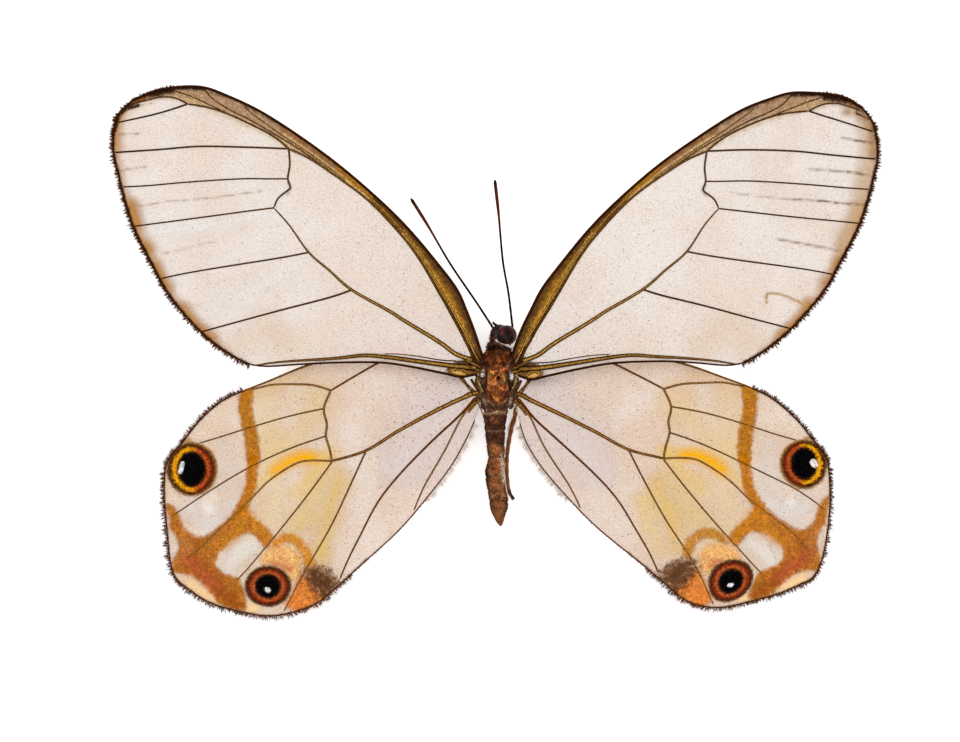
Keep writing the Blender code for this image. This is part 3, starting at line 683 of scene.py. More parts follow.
HINDWING["veins"] = [
    ([(480, 396), (472, 389), (463, 381), (455, 373), (430, 366), (400, 360), (385, 360), (357, 375),
        (331, 390.5)], 2.2, 1.5, 0.5, 0.1),
    ([(481, 398), (473, 392), (467, 385), (461.5, 377.5), (450, 369.5), (430, 363.5), (400, 357),
        (365, 353.8), (340, 356.8), (320, 361.5), (300, 368), (270, 380.5), (243, 391)],
        2.4, 1.4, 0.7, 0.3),
    ([(331, 390.5), (315, 385.5), (300, 384.3), (275, 384.5), (262, 387), (250, 390)],
        1.8, 1.4, 0.6, 0.6),
    ([(331, 390.5), (324, 408.5), (327, 424), (326, 436), (330, 450), (332, 461)], 1.9, 1.9, 0.5, 0.6),
    ([(324, 408.5), (290, 416), (250, 427.5), (220, 437), (200, 443)], 1.3, 1.0, 0.3, 0.3),
    ([(326, 436), (290, 448.5), (250, 467), (212, 489.5), (171, 517)], 1.3, 1.0, 0.3, 0.3),
    ([(332, 461), (310, 460.5), (295, 464), (270, 480), (250, 500), (225, 524), (200, 547.5), (185, 560)],
        1.6, 1.2, 0.6, 0.8),
    ([(332, 462), (310, 492), (280, 530), (250, 566), (236, 581)], 1.4, 1.0, 0.25, 0.4),
    ([(474, 393), (440, 408.5), (400, 430), (366, 450.5), (332, 461)], 4.2, 2.0, 0.9, 0.3),
    ([(366, 451), (350, 486), (330, 528), (300, 580), (290, 600), (284, 611)], 1.5, 1.1, 0.25, 0.4),
    ([(475, 398), (460, 415), (430, 443), (400, 474), (378, 502), (360, 536), (348, 560), (340, 579)],
        2.0, 1.3, 0, 0.2),
    ([(475, 402), (462, 417), (445, 450), (425, 485), (414, 510)], 1.7, 1.1, 0.7, 0.3),
    (HIND_EDGE + [(475, 420)], 1.1, 0.9, -0.7, 0.1),
    ([(476.5, 375), (479, 382), (483, 391)], 2.8, 2.6, 0.9, 0.7),
    ([(471, 379), (474, 384), (479, 391)], 2.2, 3.2, 0.2, 0.1),
    ([(485, 394), (477, 393), (466, 395)], 5.5, 3.8, 0.3, 0.8),
    ([(486, 397), (478, 397), (470, 405)], 4.0, 2.0, 0.2, 0.05),
    ([(486, 401), (478, 401), (468, 413)], 3.4, 1.6, 0.6, 0.5),
    ([(477, 401), (480.5, 408), (484, 418), (487, 429)], 1.2, 0.6, 0.7, 0.8),
]


def tube_mesh(centres, radii, flatness=1.0, sides=VEIN_SIDES):
    """Points and faces of a closed tube, and how far each point is towards its side, 0 to 1."""
    centres = np.asarray(centres, float)
    radii = np.asarray(radii, float)
    run = np.gradient(centres, axis=0)
    run /= np.linalg.norm(run, axis=1)[:, None]
    level = np.cross(np.broadcast_to((0, 0, 1.0), run.shape), run)
    steep = np.linalg.norm(level, axis=1) < 0.05
    level[steep] = (1, 0, 0)
    level /= np.linalg.norm(level, axis=1)[:, None]
    up = np.cross(run, level)
    turns = 2 * np.pi * np.arange(sides) / sides
    points = (centres[:, None] + radii[:, None, None] * (
        level[:, None] * np.cos(turns)[None, :, None]
        + up[:, None] * flatness * np.sin(turns)[None, :, None])).reshape(-1, 3)
    points = np.vstack([points, centres[0], centres[-1]])
    side = np.append(np.tile(abs(np.cos(turns)), len(centres)), [0, 0])
    faces = []
    last = len(centres) * sides
    for i in range(len(centres) - 1):
        for k in range(sides):
            a, b = i * sides + k, i * sides + (k + 1) % sides
            faces.append((a, b, b + sides))
            faces.append((a, b + sides, a + sides))
    for k in range(sides):
        faces.append((last, (k + 1) % sides, k))
        faces.append((last + 1, last - sides + k, last - sides + (k + 1) % sides))
    return points, np.array(faces), side


def joined(shapes):
    """The points and faces of several shapes as those of one mesh."""
    starts = np.cumsum([0] + [len(shape[0]) for shape in shapes])
    return (np.vstack([shape[0] for shape in shapes]),
            np.vstack([shape[1] + start for shape, start in zip(shapes, starts)]))


def vein_finish(name, dark, darker, walls):
    """Amber where the vein is painted amber, with dark walls; grainy all over."""
    finish = Finish(name, Roughness=0.5, Specular_IOR_Level=0.0)
    fine = finish.grain(0.11 * MM, detail=3, roughness=0.7)
    mottle = finish.grain(0.30 * MM, detail=3)
    wall = (finish.value("across") + (fine - 0.5) * 0.9).over(0.30, 0.58)
    gold = finish.mix(seen(132, 84, 24), seen(226, 178, 90), fine.over(0.42, 0.62))
    gold = finish.mix(gold, seen(*walls), wall)
    chitin = finish.mix(seen(*darker), seen(*dark), fine.over(0.45, 0.75))
    tone = finish.mix(chitin, gold, finish.value("amber"))
    tone = finish.mix(tone, seen(40, 18, 6), 1 - finish.value("amber").over(-1, 0))
    burnt = finish.value("near").over(0.2, 0.9) * mottle.over(0.44, 0.60)
    finish.feed("Base Color", finish.mix(tone, seen(52, 32, 16), burnt * 0.9))
    finish.bump(fine, 0.3, 0.02 * MM)
    return finish


VEIN_TONES = {
    "forewing": ((92, 42, 0), (42, 18, 0), (40, 19, 2)),
    "hindwing": ((128, 60, 0), (74, 32, 0), (56, 28, 4)),
}
BURNT_MIDDLE = (480, 380)
BURNT_REACH = 30

for wing_name, wing in WINGS.items():
    chitin_finish = vein_finish(wing_name + "_vein_chitin", *VEIN_TONES[wing_name])
    for side in SIDES:
        shapes, across, amber, near = [], [], [], []
        for line, wide, narrow, amber_start, amber_end in wing["veins"]:
            path = smooth_line(line, 3)
            share = np.linspace(0, 1, len(path))
            width = (wide + (narrow - wide) * share + VEIN_SPARE) * SQUARE
            width[-1] *= 0.5
            centres = lie(wing, path, side)
            centres[:, 2] += width * 0.12
            shapes.append(tube_mesh(centres, width / 2, flatness=0.65))
            across.append(shapes[-1][2])
            tones = amber_start + (amber_end - amber_start) * share
            close = np.clip(1.3 - np.linalg.norm(path - BURNT_MIDDLE, axis=1) / BURNT_REACH, 0, 1)
            for row, values in ((amber, tones), (near, close)):
                row.append(np.append(np.repeat(values, VEIN_SIDES), values[[0, -1]]))
        paints = {"across": across, "amber": amber, "near": near}
        tubes = make_mesh(f"veins_{wing_name}_{side}", *joined(shapes), chitin_finish,
                          {key: np.hstack(values) for key, values in paints.items()})
        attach(tubes, "root")
        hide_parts(f"{wing_name}_{side}")


# Scales and hairs: flat blades of chitin rooted in the film. They crowd the dark markings,
# stand out as a fringe round the outer margins and as pale down on the hindwings' inner ones.
def blades(name, roots, tips, widths, finish, sheet_places, paints=None, bow=0.15):
    """Many thin four-cornered blades as one mesh, each with its own spot on the bake map."""
    roots, tips, widths = np.asarray(roots), np.asarray(tips), np.asarray(widths)
    run = tips - roots
    length = np.linalg.norm(run, axis=1)[:, None]
    level = np.cross(run, (0, 0, 1.0))
    level /= np.maximum(np.linalg.norm(level, axis=1)[:, None], 1e-12)
    up = np.cross(level, run / length)
    middle = roots + run * 0.45 + up * length * bow
    half = level * widths[:, None] / 2
    points = np.stack([roots, middle - half, middle + half, tips], axis=1).reshape(-1, 3)
    first = 4 * np.arange(len(roots))[:, None]
    faces = np.hstack([first + [0, 2, 3], first + [0, 3, 1]]).reshape(-1, 3)
    spread = {key: np.repeat(values, 4, axis=0) for key, values in (paints or {}).items()}
    made = make_mesh(name, points, faces, finish, spread)
    bake = made.data.uv_layers.new(name="OFBake")
    corner = np.array([(0, 0), (-1, 1), (1, 1), (0, 2)]) * 0.0015
    spots = (np.repeat(sheet_places, 4, axis=0) + np.tile(corner, (len(roots), 1)))[faces.ravel()]
    bake.data.foreach_set("uv", spots.ravel())
    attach(made, "root")
    return made


def bake_places(points, wing):
    """Where paper points of a wing fall on its bake map."""
    low, high = wing["box"]
    return (points - low) / (high - low) * 0.96 + 0.02


def mingled(name, first, second, size, low, high, **constants):
    """A finish of two colours that mingle in grains of the given size."""
    finish = Finish(name, **constants)
    finish.feed("Base Color", finish.mix(seen(*first), seen(*second), finish.grain(size).over(low, high)))
    return finish


SCALE_LENGTH = 1.4
SCALES_A_SQUARE = 1.2
SCALED_STRENGTH = 0.82
LOOSE_SCALES = 230
LOOSE_LENGTH = 1.3
LOOSE_NEAR = 60
WING_ROOT = (478, 382)
BARE_ROOT, BARE_ROOT_HALF = (478, 370), 34
luck = np.random.default_rng(7)
dust_finish = mingled("loose_scales", (78, 52, 38), (140, 104, 78), 0.3 * MM, 0.4, 0.6,
                      Roughness=0.6, Specular_IOR_Level=0.2)


def scale_tips(wing, roots, side, length, lift):
    """Roots and tips of blades that point away from the wing's root."""
    away = roots - WING_ROOT
    away /= np.linalg.norm(away, axis=1)[:, None]
    turn = luck.normal(0, 0.22, len(roots))
    away = np.column_stack([away[:, 0] * np.cos(turn) - away[:, 1] * np.sin(turn),
                            away[:, 0] * np.sin(turn) + away[:, 1] * np.cos(turn)])
    start = lie(wing, roots, side, lift=0.02 * MM)
    end = lie(wing, roots + away * length[:, None], side, lift=0.02 * MM)
    end[:, 2] += lift
    return start, end


for wing_name, wing in WINGS.items():
    scale_finish = wing_finish(wing_name, opaque=True)
    low, high = wing["box"]
    tries = luck.uniform(low, high, (int(np.prod(high - low) * SCALES_A_SQUARE), 2))
    tries = tries[patch(tries, wing["edge"], rounded=False) < -1.2]
    for side, paints in painted(wing, tries).items():
        cover = np.min([paints[name] - soft * 0.2 for name, (*_, soft, _, strength) in
                        wing["marks"].items() if soft < WASH and strength > SCALED_STRENGTH], axis=0)
        for name, spot in wing["eyespots"].items():
            cover = np.minimum(cover, (paints[name + " spot"] - spot["reach"]) * 12)
        kept = cover < luck.normal(0, 0.8, len(tries))
        kept &= np.linalg.norm(tries - BARE_ROOT, axis=1) > BARE_ROOT_HALF
        roots = tries[kept]
        length = SCALE_LENGTH * luck.uniform(0.7, 1.2, len(roots))
        start, end = scale_tips(wing, roots, side, length, luck.uniform(0.01, 0.05, len(roots)) * MM)
        coat = blades(f"scales_{wing_name}_{side}", start, end, length * SQUARE * 0.5,
                      scale_finish, bake_places(roots, wing),
                      {**{key: values[kept] for key, values in paints.items()},
                       "shade": luck.uniform(0, 1, len(roots))})
        nearness = 1 / (LOOSE_NEAR + np.linalg.norm(tries - WING_ROOT, axis=1)) ** 2 * ~kept
        loose = tries[luck.choice(len(tries), LOOSE_SCALES, p=nearness / nearness.sum())]
        start, end = scale_tips(wing, loose, side, np.full(len(loose), LOOSE_LENGTH), 0.03 * MM)
        dust = blades(f"loose_scales_{wing_name}_{side}", start, end,
                      np.full(len(loose), 0.07 * MM), dust_finish, bake_places(loose, wing))


# Fringe: a comb of hair-like scales round the outer margins, pale at the root and dark at
# the tip, and longer pale down along the hindwings' inner margins.
# Each run: from where to where, squares between hairs, their length and how dark they are.
FRINGES = {
    "forewing": [((180, 87), (119, 114), 0.45, 3.4, 1.0), ((119, 114), (250, 364.5), 0.27, 5.0, 1.0),
        ((250, 364.5), (440, 372.5), 1.6, 1.6, 0.8)],
    "hindwing": [((243, 391), (352, 574), 0.27, 5.8, 0.6), ((352, 574), (425, 500), 0.6, 3.2, 0.35),
        ((425, 500), (474, 423), 0.09, 7.5, 0.0)],
}
fringe_finish = Finish("fringe_hair", Roughness=0.7, Specular_IOR_Level=0.0)
fringe_shade = fringe_finish.value("shade")
fringe_dark = fringe_finish.value("tip").over(0.05, 0.3) * fringe_finish.value("dark").over(0, 0.6)
fringe_finish.feed("Base Color", fringe_finish.mix(
    fringe_finish.mix(seen(238, 228, 220), seen(206, 188, 174), fringe_shade),
    fringe_finish.mix(seen(30, 12, 6), seen(110, 56, 24), fringe_shade), fringe_dark))
FRINGE_STEP = 0.25

for wing_name, wing in WINGS.items():
    edge = smooth_line(wing["outline"], FRINGE_STEP, closed=True)
    roots, tips, darks = [], [], []
    for start, end, spacing, length, dark in FRINGES[wing_name]:
        first = int(np.argmin(np.linalg.norm(edge - start, axis=1)))
        last = int(np.argmin(np.linalg.norm(edge - end, axis=1)))
        count = int((last - first) * FRINGE_STEP / spacing)
        at = np.linspace(first, last, count).astype(int)
        run = edge[(at + 2) % len(edge)] - edge[at - 2]
        out = np.column_stack([run[:, 1], -run[:, 0]]) / np.linalg.norm(run, axis=1)[:, None]
        out *= np.sign(patch(edge[at] + out, wing["edge"], rounded=False))[:, None]
        clump = 0.75 + 0.25 * np.sin(at * 0.42) + 0.15 * np.sin(at * 0.117 + 1)
        lean = out + luck.normal(0, 0.24, out.shape)
        roots.append(edge[at] - out * luck.uniform(0.2, 0.9, count)[:, None])
        tips.append(roots[-1] + lean * (length * clump * luck.uniform(0.6, 1.25, count))[:, None])
        darks.append(np.full(count, dark))
    roots, tips, darks = np.vstack(roots), np.vstack(tips), np.hstack(darks)
    for side in SIDES:
        start = lie(wing, roots, side, lift=-0.01 * MM)
        end = lie(wing, tips, side)
        end[:, 2] = start[:, 2] + luck.normal(0, 0.05, len(tips)) * MM
        end[:, 2] = np.maximum(end[:, 2], 0.02 * MM)
        fringe = blades(f"fringe_{wing_name}_{side}", start, end,
                        luck.uniform(0.7, 1.3, len(roots)) * (0.25 + 0.7 * darks) * SQUARE,
                        fringe_finish, bake_places(roots, wing),
                        {"dark": darks, "shade": luck.uniform(0, 1, len(roots))}, bow=0.03)
        paint(fringe.data, {"tip": np.tile([0, 0.45, 0.45, 1.0], len(roots))})


# Body skin: brown chitin plates over head, chest and hind body, with the mouth feelers and the
# six folded legs, fused from ellipsoids and tubes into one closed surface with no seam.
# Drawn in millimetres from the wing roots: middle, half sizes, turn about each axis. The
# lumps in SIDE_LUMPS stand on both sides.
LUMPS = [
    ((-0.46, -3.3, 2.02), (0.8, 0.64, 0.62), (0, 22, 14)),
    ((-0.2, -3.86, 1.75), (0.42, 0.3, 0.4), (0, 0, 0)),
    ((-0.32, -3.56, 2.0), (0.56, 0.42, 0.5), (0, 0, 0)),
    ((0.04, -3.08, 1.95), (0.42, 0.44, 0.5), (0, 0, 0)),
    ((-0.72, -2.36, 2.1), (0.42, 0.48, 0.6), (0, 0, 0)),
    ((-0.3, -2.78, 2.02), (0.62, 0.42, 0.55), (0, 0, 12)),
    ((-0.12, -2.56, 2.06), (0.8, 0.42, 0.66), (0, 0, 0)),
    ((-0.14, -2.24, 2.18), (0.86, 0.52, 0.86), (0, 0, 0)),
    ((0.0, -1.35, 2.25), (1.0, 0.95, 1.2), (0, 0, 0)),
    ((0.0, -0.1, 2.25), (1.12, 1.75, 1.36), (0, 0, 0)),
    ((0.0, 1.62, 2.08), (1.02, 0.8, 1.1), (0, 0, 0)),
    ((0.0, 2.3, 1.98), (0.84, 0.5, 0.9), (0, 0, 0)),
    ((0.0, -0.3, 1.45), (0.98, 1.95, 0.68), (0, 0, 0)),
]
SIDE_LUMPS = [
    ((0.92, -1.15, 2.74), (0.34, 0.62, 0.3), (0, 18, 12)),
    ((1.08, -0.2, 2.5), (0.3, 0.52, 0.26), (0, 20, 0)),
    ((1.06, 0.95, 2.1), (0.34, 0.58, 0.26), (0, 20, 0)),
    ((1.36, 0.24, 1.92), (0.3, 0.58, 0.18), (0, 14, 14)),
    ((1.28, 1.1, 1.78), (0.38, 0.34, 0.18), (0, 14, 0)),
    ((0.98, 1.8, 1.85), (0.26, 0.42, 0.24), (0, 20, -10)),
]
for (aside, back, up), half, (_, roll, turn) in SIDE_LUMPS:
    LUMPS += [((aside, back, up), half, (0, roll, turn)), ((-aside, back, up), half, (0, -roll, -turn))]
# Hind body: back from the wing roots, middle to the left, half width
HIND_BODY = [
    (2.2, 0.1, 0.8), (2.75, 0.12, 0.86), (3.05, 0.15, 0.83), (3.8, 0.15, 0.76), (4.7, 0.12, 0.68),
    (5.3, 0.08, 0.65), (5.9, 0.04, 0.61), (6.3, 0.08, 0.64), (6.9, 0.18, 0.72), (7.6, 0.14, 0.7),
    (8.4, 0.0, 0.68), (9.1, -0.13, 0.71), (9.7, -0.15, 0.66), (10.1, -0.16, 0.5), (10.5, -0.2, 0.34),
    (10.8, -0.24, 0.21), (11.02, -0.29, 0.08),
]
HIND_BODY_Z = 1.9
HIND_BODY_SLOPE = 0.19
HIND_BODY_START = 2.72
FORELEG = [(0.30, -1.9, 1.2), (0.34, -2.1, 0.55), (0.28, -2.9, 0.30), (0.26, -3.1, 0.12)]
MIDLEG = [(0.45, -0.5, 1.1), (0.60, -0.9, 0.50), (0.70, -1.6, 0.34), (0.84, -2.0, 0.34),
          (1.0, -1.6, 0.20), (1.25, -0.6, 0.12), (1.32, 0.8, 0.10)]
# Legs and mouth feelers: points of a tube and its radius at both ends
LIMBS = {
    "foreleg_left": (FORELEG, 0.16, 0.06),
    "midleg_left": (MIDLEG, 0.22, 0.09),
    "hindleg_left": ([(0.45, 1.7, 1.2), (0.62, 1.9, 0.6), (0.86, 1.6, 0.32), (0.92, 1.9, 0.3),
        (0.8, 2.4, 0.26), (0.72, 3.0, 0.2), (0.62, 3.6, 0.14), (0.55, 4.4, 0.12), (0.42, 6.3, 0.1)],
        0.22, 0.08),
    "foreleg_right": ([(-aside, back, up) for aside, back, up in FORELEG], 0.16, 0.06),
    "midleg_right": ([(-aside, back, up) for aside, back, up in MIDLEG], 0.22, 0.09),
    "hindleg_right": ([(-0.45, 1.7, 1.2), (-0.65, 1.9, 0.6), (-1.1, 1.6, 0.32), (-1.4, 1.9, 0.42),
        (-1.38, 2.6, 0.5), (-1.06, 3.8, 0.42), (-0.87, 4.8, 0.34), (-0.76, 5.8, 0.28), (-0.76, 7.2, 0.22),
        (-0.91, 8.4, 0.16), (-1.14, 8.85, 0.14), (-1.27, 9.05, 0.13)], 0.19, 0.14),
    "palp_left": ([(-0.2, -3.8, 1.5), (-0.1, -4.02, 1.75), (0.1, -4.16, 1.95), (0.32, -4.36, 2.05)],
        0.17, 0.085),
    "palp_right": ([(-0.5, -3.7, 1.2), (-0.54, -3.9, 1.3), (-0.56, -4.02, 1.5)], 0.15, 0.05),
}
VOXEL = 0.042
BALL_ROUNDS = 3


def ball(middle, half, turn):
    """Points and faces of an ellipsoid."""
    shape = bmesh.new()
    bmesh.ops.create_icosphere(shape, subdivisions=BALL_ROUNDS, radius=1)
    around = [Matrix.Rotation(math.radians(angle), 3, axis) for angle, axis in zip(turn, "XYZ")]
    turned = np.array(around[2] @ around[1] @ around[0])
    points = np.array([vert.co for vert in shape.verts]) * half @ turned.T + middle
    faces = np.array([[vert.index for vert in face.verts] for face in shape.faces])
    shape.free()
    return points, faces


shapes = [ball(*lump) for lump in LUMPS]
back, aside, half_width = np.array(HIND_BODY).T
height = HIND_BODY_Z - HIND_BODY_SLOPE * (back - HIND_BODY_START)
shapes.append(tube_mesh(np.column_stack([aside, back, height]), half_width, sides=28))
for points, wide, narrow in LIMBS.values():
    path = smooth_line(points, 0.06)
    radii = np.linspace(wide, narrow, len(path))
    swell = 1 + 0.10 * np.cos(np.linspace(0, len(points) * 2 * np.pi, len(path)))
    shapes.append(tube_mesh(path, radii * swell, sides=12))
skin_finish = Finish("body_chitin", Roughness=0.5, Specular_IOR_Level=0.10)
rough_skin = make_mesh("body_skin", *joined(shapes), skin_finish)
bpy.ops.object.select_all(action="DESELECT")
bpy.context.view_layer.objects.active = rough_skin
rough_skin.select_set(True)
fuse = rough_skin.modifiers.new("fuse", "REMESH")
fuse.mode = "VOXEL"
fuse.voxel_size = VOXEL
bpy.ops.object.modifier_apply(modifier=fuse.name)
soften = rough_skin.modifiers.new("soften", "SMOOTH")
soften.factor = 0.5
soften.iterations = 3
bpy.ops.object.modifier_apply(modifier=soften.name)

# Body markings with painted highlights and painted shade, drawn on the same paper as the wings, for the
# upper side of the skin
BODY_MARKS = {
    "collar": ([(487, 345), (511, 345), (512, 357), (486, 357)], None, (132, 76, 40), 6, 3, 0.8),
    "collar dark": ([(490, 348), (500, 346.5), (511, 350)], 2.2, (22, 14, 11), 3, 3, 0.95),
    "plate shade": ([(486, 354), (510, 354), (513, 380), (510, 404), (485, 404), (482, 380)],
        None, (92, 52, 28), 4, 3, 0.9),
    "plate": ([(489, 356), (506, 356), (509.5, 368), (510, 385), (507, 396), (498, 403), (488.5, 397),
        (485, 385), (485.5, 368)], None, (160, 84, 36), 3, 5, 0.92),
    "plate glow": ([(495, 384), (495, 392), (498, 399)], 3.0, (212, 116, 48), 5, 6, 0.75),
    "plate glow 2": ([(499, 361), (499, 368), (497, 373)], 1.8, (176, 92, 40), 4, 5, 0.8),
    "plate middle": ([(499, 354), (498.6, 372)], 0.5, (84, 42, 20), 1.5, 1, 0.8),
    "shield": ([(488, 392), (492, 399), (498, 403), (503, 399), (507, 392)],
        0.7, (78, 42, 24), 1.5, 1, 0.9),
    "side left": ([(483, 358), (482.5, 385), (484, 408)], 2.2, (62, 33, 17), 3, 3, 0.9),
    "side right": ([(512, 358), (512.5, 385), (510, 408)], 2.2, (62, 33, 17), 3, 3, 0.9),
    "plate dark 2": ([(489, 361), (496, 358), (503, 360)], 1.6, (96, 50, 26), 4, 4, 0.8),
    "plate dark 3": ([(503, 383), (506, 390), (503, 397)], 1.2, (104, 52, 26), 4, 4, 0.8),
    "plate dark 4": ([(494, 372), (496, 380), (496, 386)], 0.8, (110, 58, 28), 3, 4, 0.7),
    "root left": ([(473, 374), (482, 372), (484, 400), (477, 396)], None, (84, 58, 36), 2, 2, 1.0),
    "root right": ([(521, 374), (512, 372), (510, 400), (517, 396)], None, (84, 58, 36), 2, 2, 1.0),
    "strut left": ([(477, 376), (479, 383), (483, 391)], 0.65, (206, 160, 84), 1.2, 0.8, 1.0),
    "strut right": ([(517, 376), (515, 383), (511, 391)], 0.65, (206, 160, 84), 1.2, 0.8, 1.0),
    "fold left": ([(480.5, 374), (481.5, 384), (484, 392)], 0.6, (28, 18, 12), 1.5, 1, 1.0),
    "fold right": ([(513.5, 374), (512.5, 384), (510, 392)], 0.6, (28, 18, 12), 1.5, 1, 1.0),
    "plate dark": ([(504, 360), (506.5, 372), (506, 382)], 1.5, (76, 40, 22), 4, 4, 0.8),
    # Painted highlights: lighter golden patches where the glossy plate catches the light
    "plate gold": ([(491, 371), (489.5, 378), (490, 384)], 1.2, (222, 148, 62), 2.5, 4, 0.75),
    "plate gold 2": ([(502.5, 374), (504, 379), (503, 383)], 1.0, (232, 160, 78), 2, 4, 0.7),
    "plate specks": ([(492, 366), (500, 376), (496, 392), (502, 396)], 6.5, (66, 34, 16), 3, 16, 0.55),
    "glint 1": ([(495, 382), (496.5, 384)], 0.4, (240, 196, 120), 1.2, 1, 0.7),
    "glint 2": ([(493, 371), (493.4, 374)], 0.5, (240, 190, 80), 1.2, 1, 0.75),
    "glint 3": ([(504, 377), (504.6, 381)], 0.45, (240, 190, 100), 1.2, 1, 0.7),
    "glint 4": ([(489.6, 383), (490.4, 384)], 0.4, (236, 186, 104), 1.2, 1, 0.7),
    "seam left": ([(488, 401), (493, 405), (497, 410.5)], 0.45, (208, 150, 104), 1.5, 1, 0.8),
    "seam right": ([(507, 399), (502, 404), (497.5, 410.5)], 0.45, (208, 150, 104), 1.5, 1, 0.8),
    "pale 1": ([(482.5, 371), (482.5, 375)], 1.4, (250, 238, 232), 1.5, 1, 1.0),
    "pale 2": ([(511.7, 372), (511.7, 378)], 1.5, (250, 238, 232), 1.5, 1, 1.0),
    "pale 3": ([(507, 363), (507.5, 366)], 0.8, (222, 190, 160), 2, 1, 0.9),
    "pale 4": ([(484, 399), (487, 409)], 1.0, (214, 184, 160), 2, 2, 0.8),
    "pale 5": ([(511, 399), (508, 409)], 1.0, (214, 184, 160), 2, 2, 0.8),
    "rim left": ([(485.5, 368), (486, 380), (484.5, 392)], 0.8, (22, 13, 10), 2, 1.5, 0.95),
    "rim right": ([(509, 368), (509, 378), (511, 390)], 0.8, (22, 13, 10), 2, 1.5, 0.95),
    "rear dark": ([(488, 406), (497, 408), (507, 406)], 2.8, (74, 42, 28), 3, 3, 0.9),
    "seam": ([(483, 412.5), (490, 413.5), (496, 411.5), (499, 411.5), (505, 412.5)],
        0.9, (204, 156, 118), 1.6, 1.5, 0.8),
    "waist": ([(488, 418), (497, 419), (506, 418)], 3.4, (62, 34, 22), 3, 3, 0.9),
    "waist spot": ([(492, 417.5), (495, 419)], 1.4, (150, 90, 55), 2, 2, 0.7),
    "front dark": ([(484, 421), (509, 421), (508, 442), (485, 440)], None, (72, 36, 20), 5, 5, 0.85),
    "blotch 1": ([(493, 447), (500, 452)], 3.6, (174, 104, 56), 5, 5, 0.9),
    "blotch 2": ([(497, 462), (501, 472)], 3.6, (160, 94, 52), 6, 5, 0.85),
    "blotch 3": ([(494, 481), (499, 488)], 3.0, (148, 86, 44), 6, 5, 0.8),
    "blotch 4": ([(498, 503), (501, 511)], 3.2, (146, 90, 50), 5, 5, 0.85),
    "edge shade 1": ([(486, 430), (488, 450), (486, 466), (488, 486), (490, 504), (494, 516)],
        1.4, (58, 31, 21), 4, 3, 0.85),
    "edge shade 2": ([(506, 430), (504, 450), (505, 466), (507, 486), (508, 502), (505, 514)],
        1.0, (62, 34, 22), 4, 3, 0.8),
    "front spot": ([(492, 419), (497, 421)], 1.6, (150, 84, 52), 3, 3, 0.8),
    "wrinkle 1": ([(487, 430), (492, 431.2), (498, 430.6), (505, 430)],
        0.4, (200, 150, 116), 1.2, 1, 0.85),
    "wrinkle 2": ([(491, 474), (495, 476.6), (500, 477)], 0.35, (212, 164, 122), 1.2, 1, 0.85),
    "wrinkle 3": ([(489, 499.5), (493, 496.5), (497, 493)], 0.3, (204, 158, 122), 1.2, 1, 0.8),
    "wrinkle 4": ([(494, 497), (500, 501), (507, 500)], 0.4, (34, 19, 12), 1.4, 1, 0.9),
    "wrinkle 5": ([(490, 483), (497, 485), (503, 488)], 0.5, (196, 130, 80), 1.6, 2, 0.8),
    "wrinkle 6": ([(497, 457), (501, 462), (503, 470)], 0.4, (206, 158, 118), 1.4, 1, 0.8),
    "left edge": ([(486.6, 462), (486, 470), (487, 482)], 1.6, (36, 21, 15), 3, 2, 0.9),
    "right scales": ([(502.2, 456), (502.9, 468), (503.6, 480)], 1.3, (244, 214, 172), 2.4, 5, 0.95),
    "palp dark": ([(489, 321), (492, 324.5), (496, 327.5)], 2.4, (24, 12, 8), 2, 1, 1.0),
    "head dark": ([(491, 332), (490, 338), (488, 345)], 2.4, (28, 16, 11), 3, 3, 0.9),
    "tip": ([(499, 516), (500.5, 525)], 2.4, (150, 92, 44), 4, 4, 0.8),
    "nape": ([(496.5, 340.2), (501, 342.4), (507, 345.2), (512.6, 347.6)],
        0.85, (246, 240, 232), 1, 0.6, 1.0),
    "brow": ([(493.6, 330), (496.5, 334), (499, 338)], 0.55, (226, 196, 160), 1, 0.6, 0.9),
}
SEGMENTS = {
    "seg 1": [(484, 424), (497, 426), (509, 423)], "seg 2": [(485, 432), (497, 431), (508, 431)],
    "seg 3": [(485, 444), (497, 443), (508, 446)], "seg 4": [(487, 456), (497, 457), (507, 455)],
    "seg 5": [(484, 477), (495, 476), (508, 479)], "seg 6": [(486, 490), (498, 492), (509, 490)],
    "seg 7": [(488, 501), (499, 500), (510, 502)],
}
FOOT = [(511.5, 491.5), (515, 500)]
FOOT_HALF = 2.6
PIN_HOLE = (498.3, 377.7)
PIN_HOLE_HALF = 1.7
PIN_HOLE_DEEP = 0.45
GROOVES = {"shield": 0.07, "plate middle": 0.03, "seam": -0.05, "rim left": 0.06,
           "rim right": 0.06}
SEGMENT_GROOVE = 0.035
BODY_MARK_REACH = 12


def of_points(mesh, key):
    """A three-number value of each of a mesh's points."""
    values = np.empty(len(mesh.vertices) * 3)
    mesh.vertices.foreach_get(key, values)
    return values.reshape(-1, 3)


points = of_points(rough_skin.data, "co")
normals = of_points(rough_skin.data, "normal")
spots = np.column_stack([MIDLINE_COLUMN - points[:, 0] * MM / SQUARE,
                         ROOT_ROW + points[:, 1] * MM / SQUARE])
upward = np.clip(normals[:, 2] * 3 + 0.6, 0, 1) * (points[:, 2] > 0.5)
limb = np.min([stroke(points, smooth_line(line, 0.2)) - wide * 1.6 for line, wide, _ in
               LIMBS.values()], axis=0)
drawn = {**BODY_MARKS, **{name: (line, 0.5) for name, line in SEGMENTS.items()},
         "foot": (FOOT, FOOT_HALF)}
skin_paints = {name: measured(spots, mark, BODY_MARK_REACH) for name, mark in drawn.items()}
skin_paints["hole"] = np.linalg.norm(spots - PIN_HOLE, axis=1) / PIN_HOLE_HALF
skin_paints["upward"] = upward
skin_paints["far back"] = np.clip((spots[:, 1] - 440) / 12, 0, 1)
skin_paints["limb"] = np.clip(0.5 - limb * 8, 0, 1) * (points[:, 2] < 1.0)
skin_paints["shade"] = np.full(len(points), 0.5)
for name, deep in GROOVES.items():
    points -= normals * (deep * upward * np.exp(-np.maximum(skin_paints[name], 0) ** 2))[:, None]
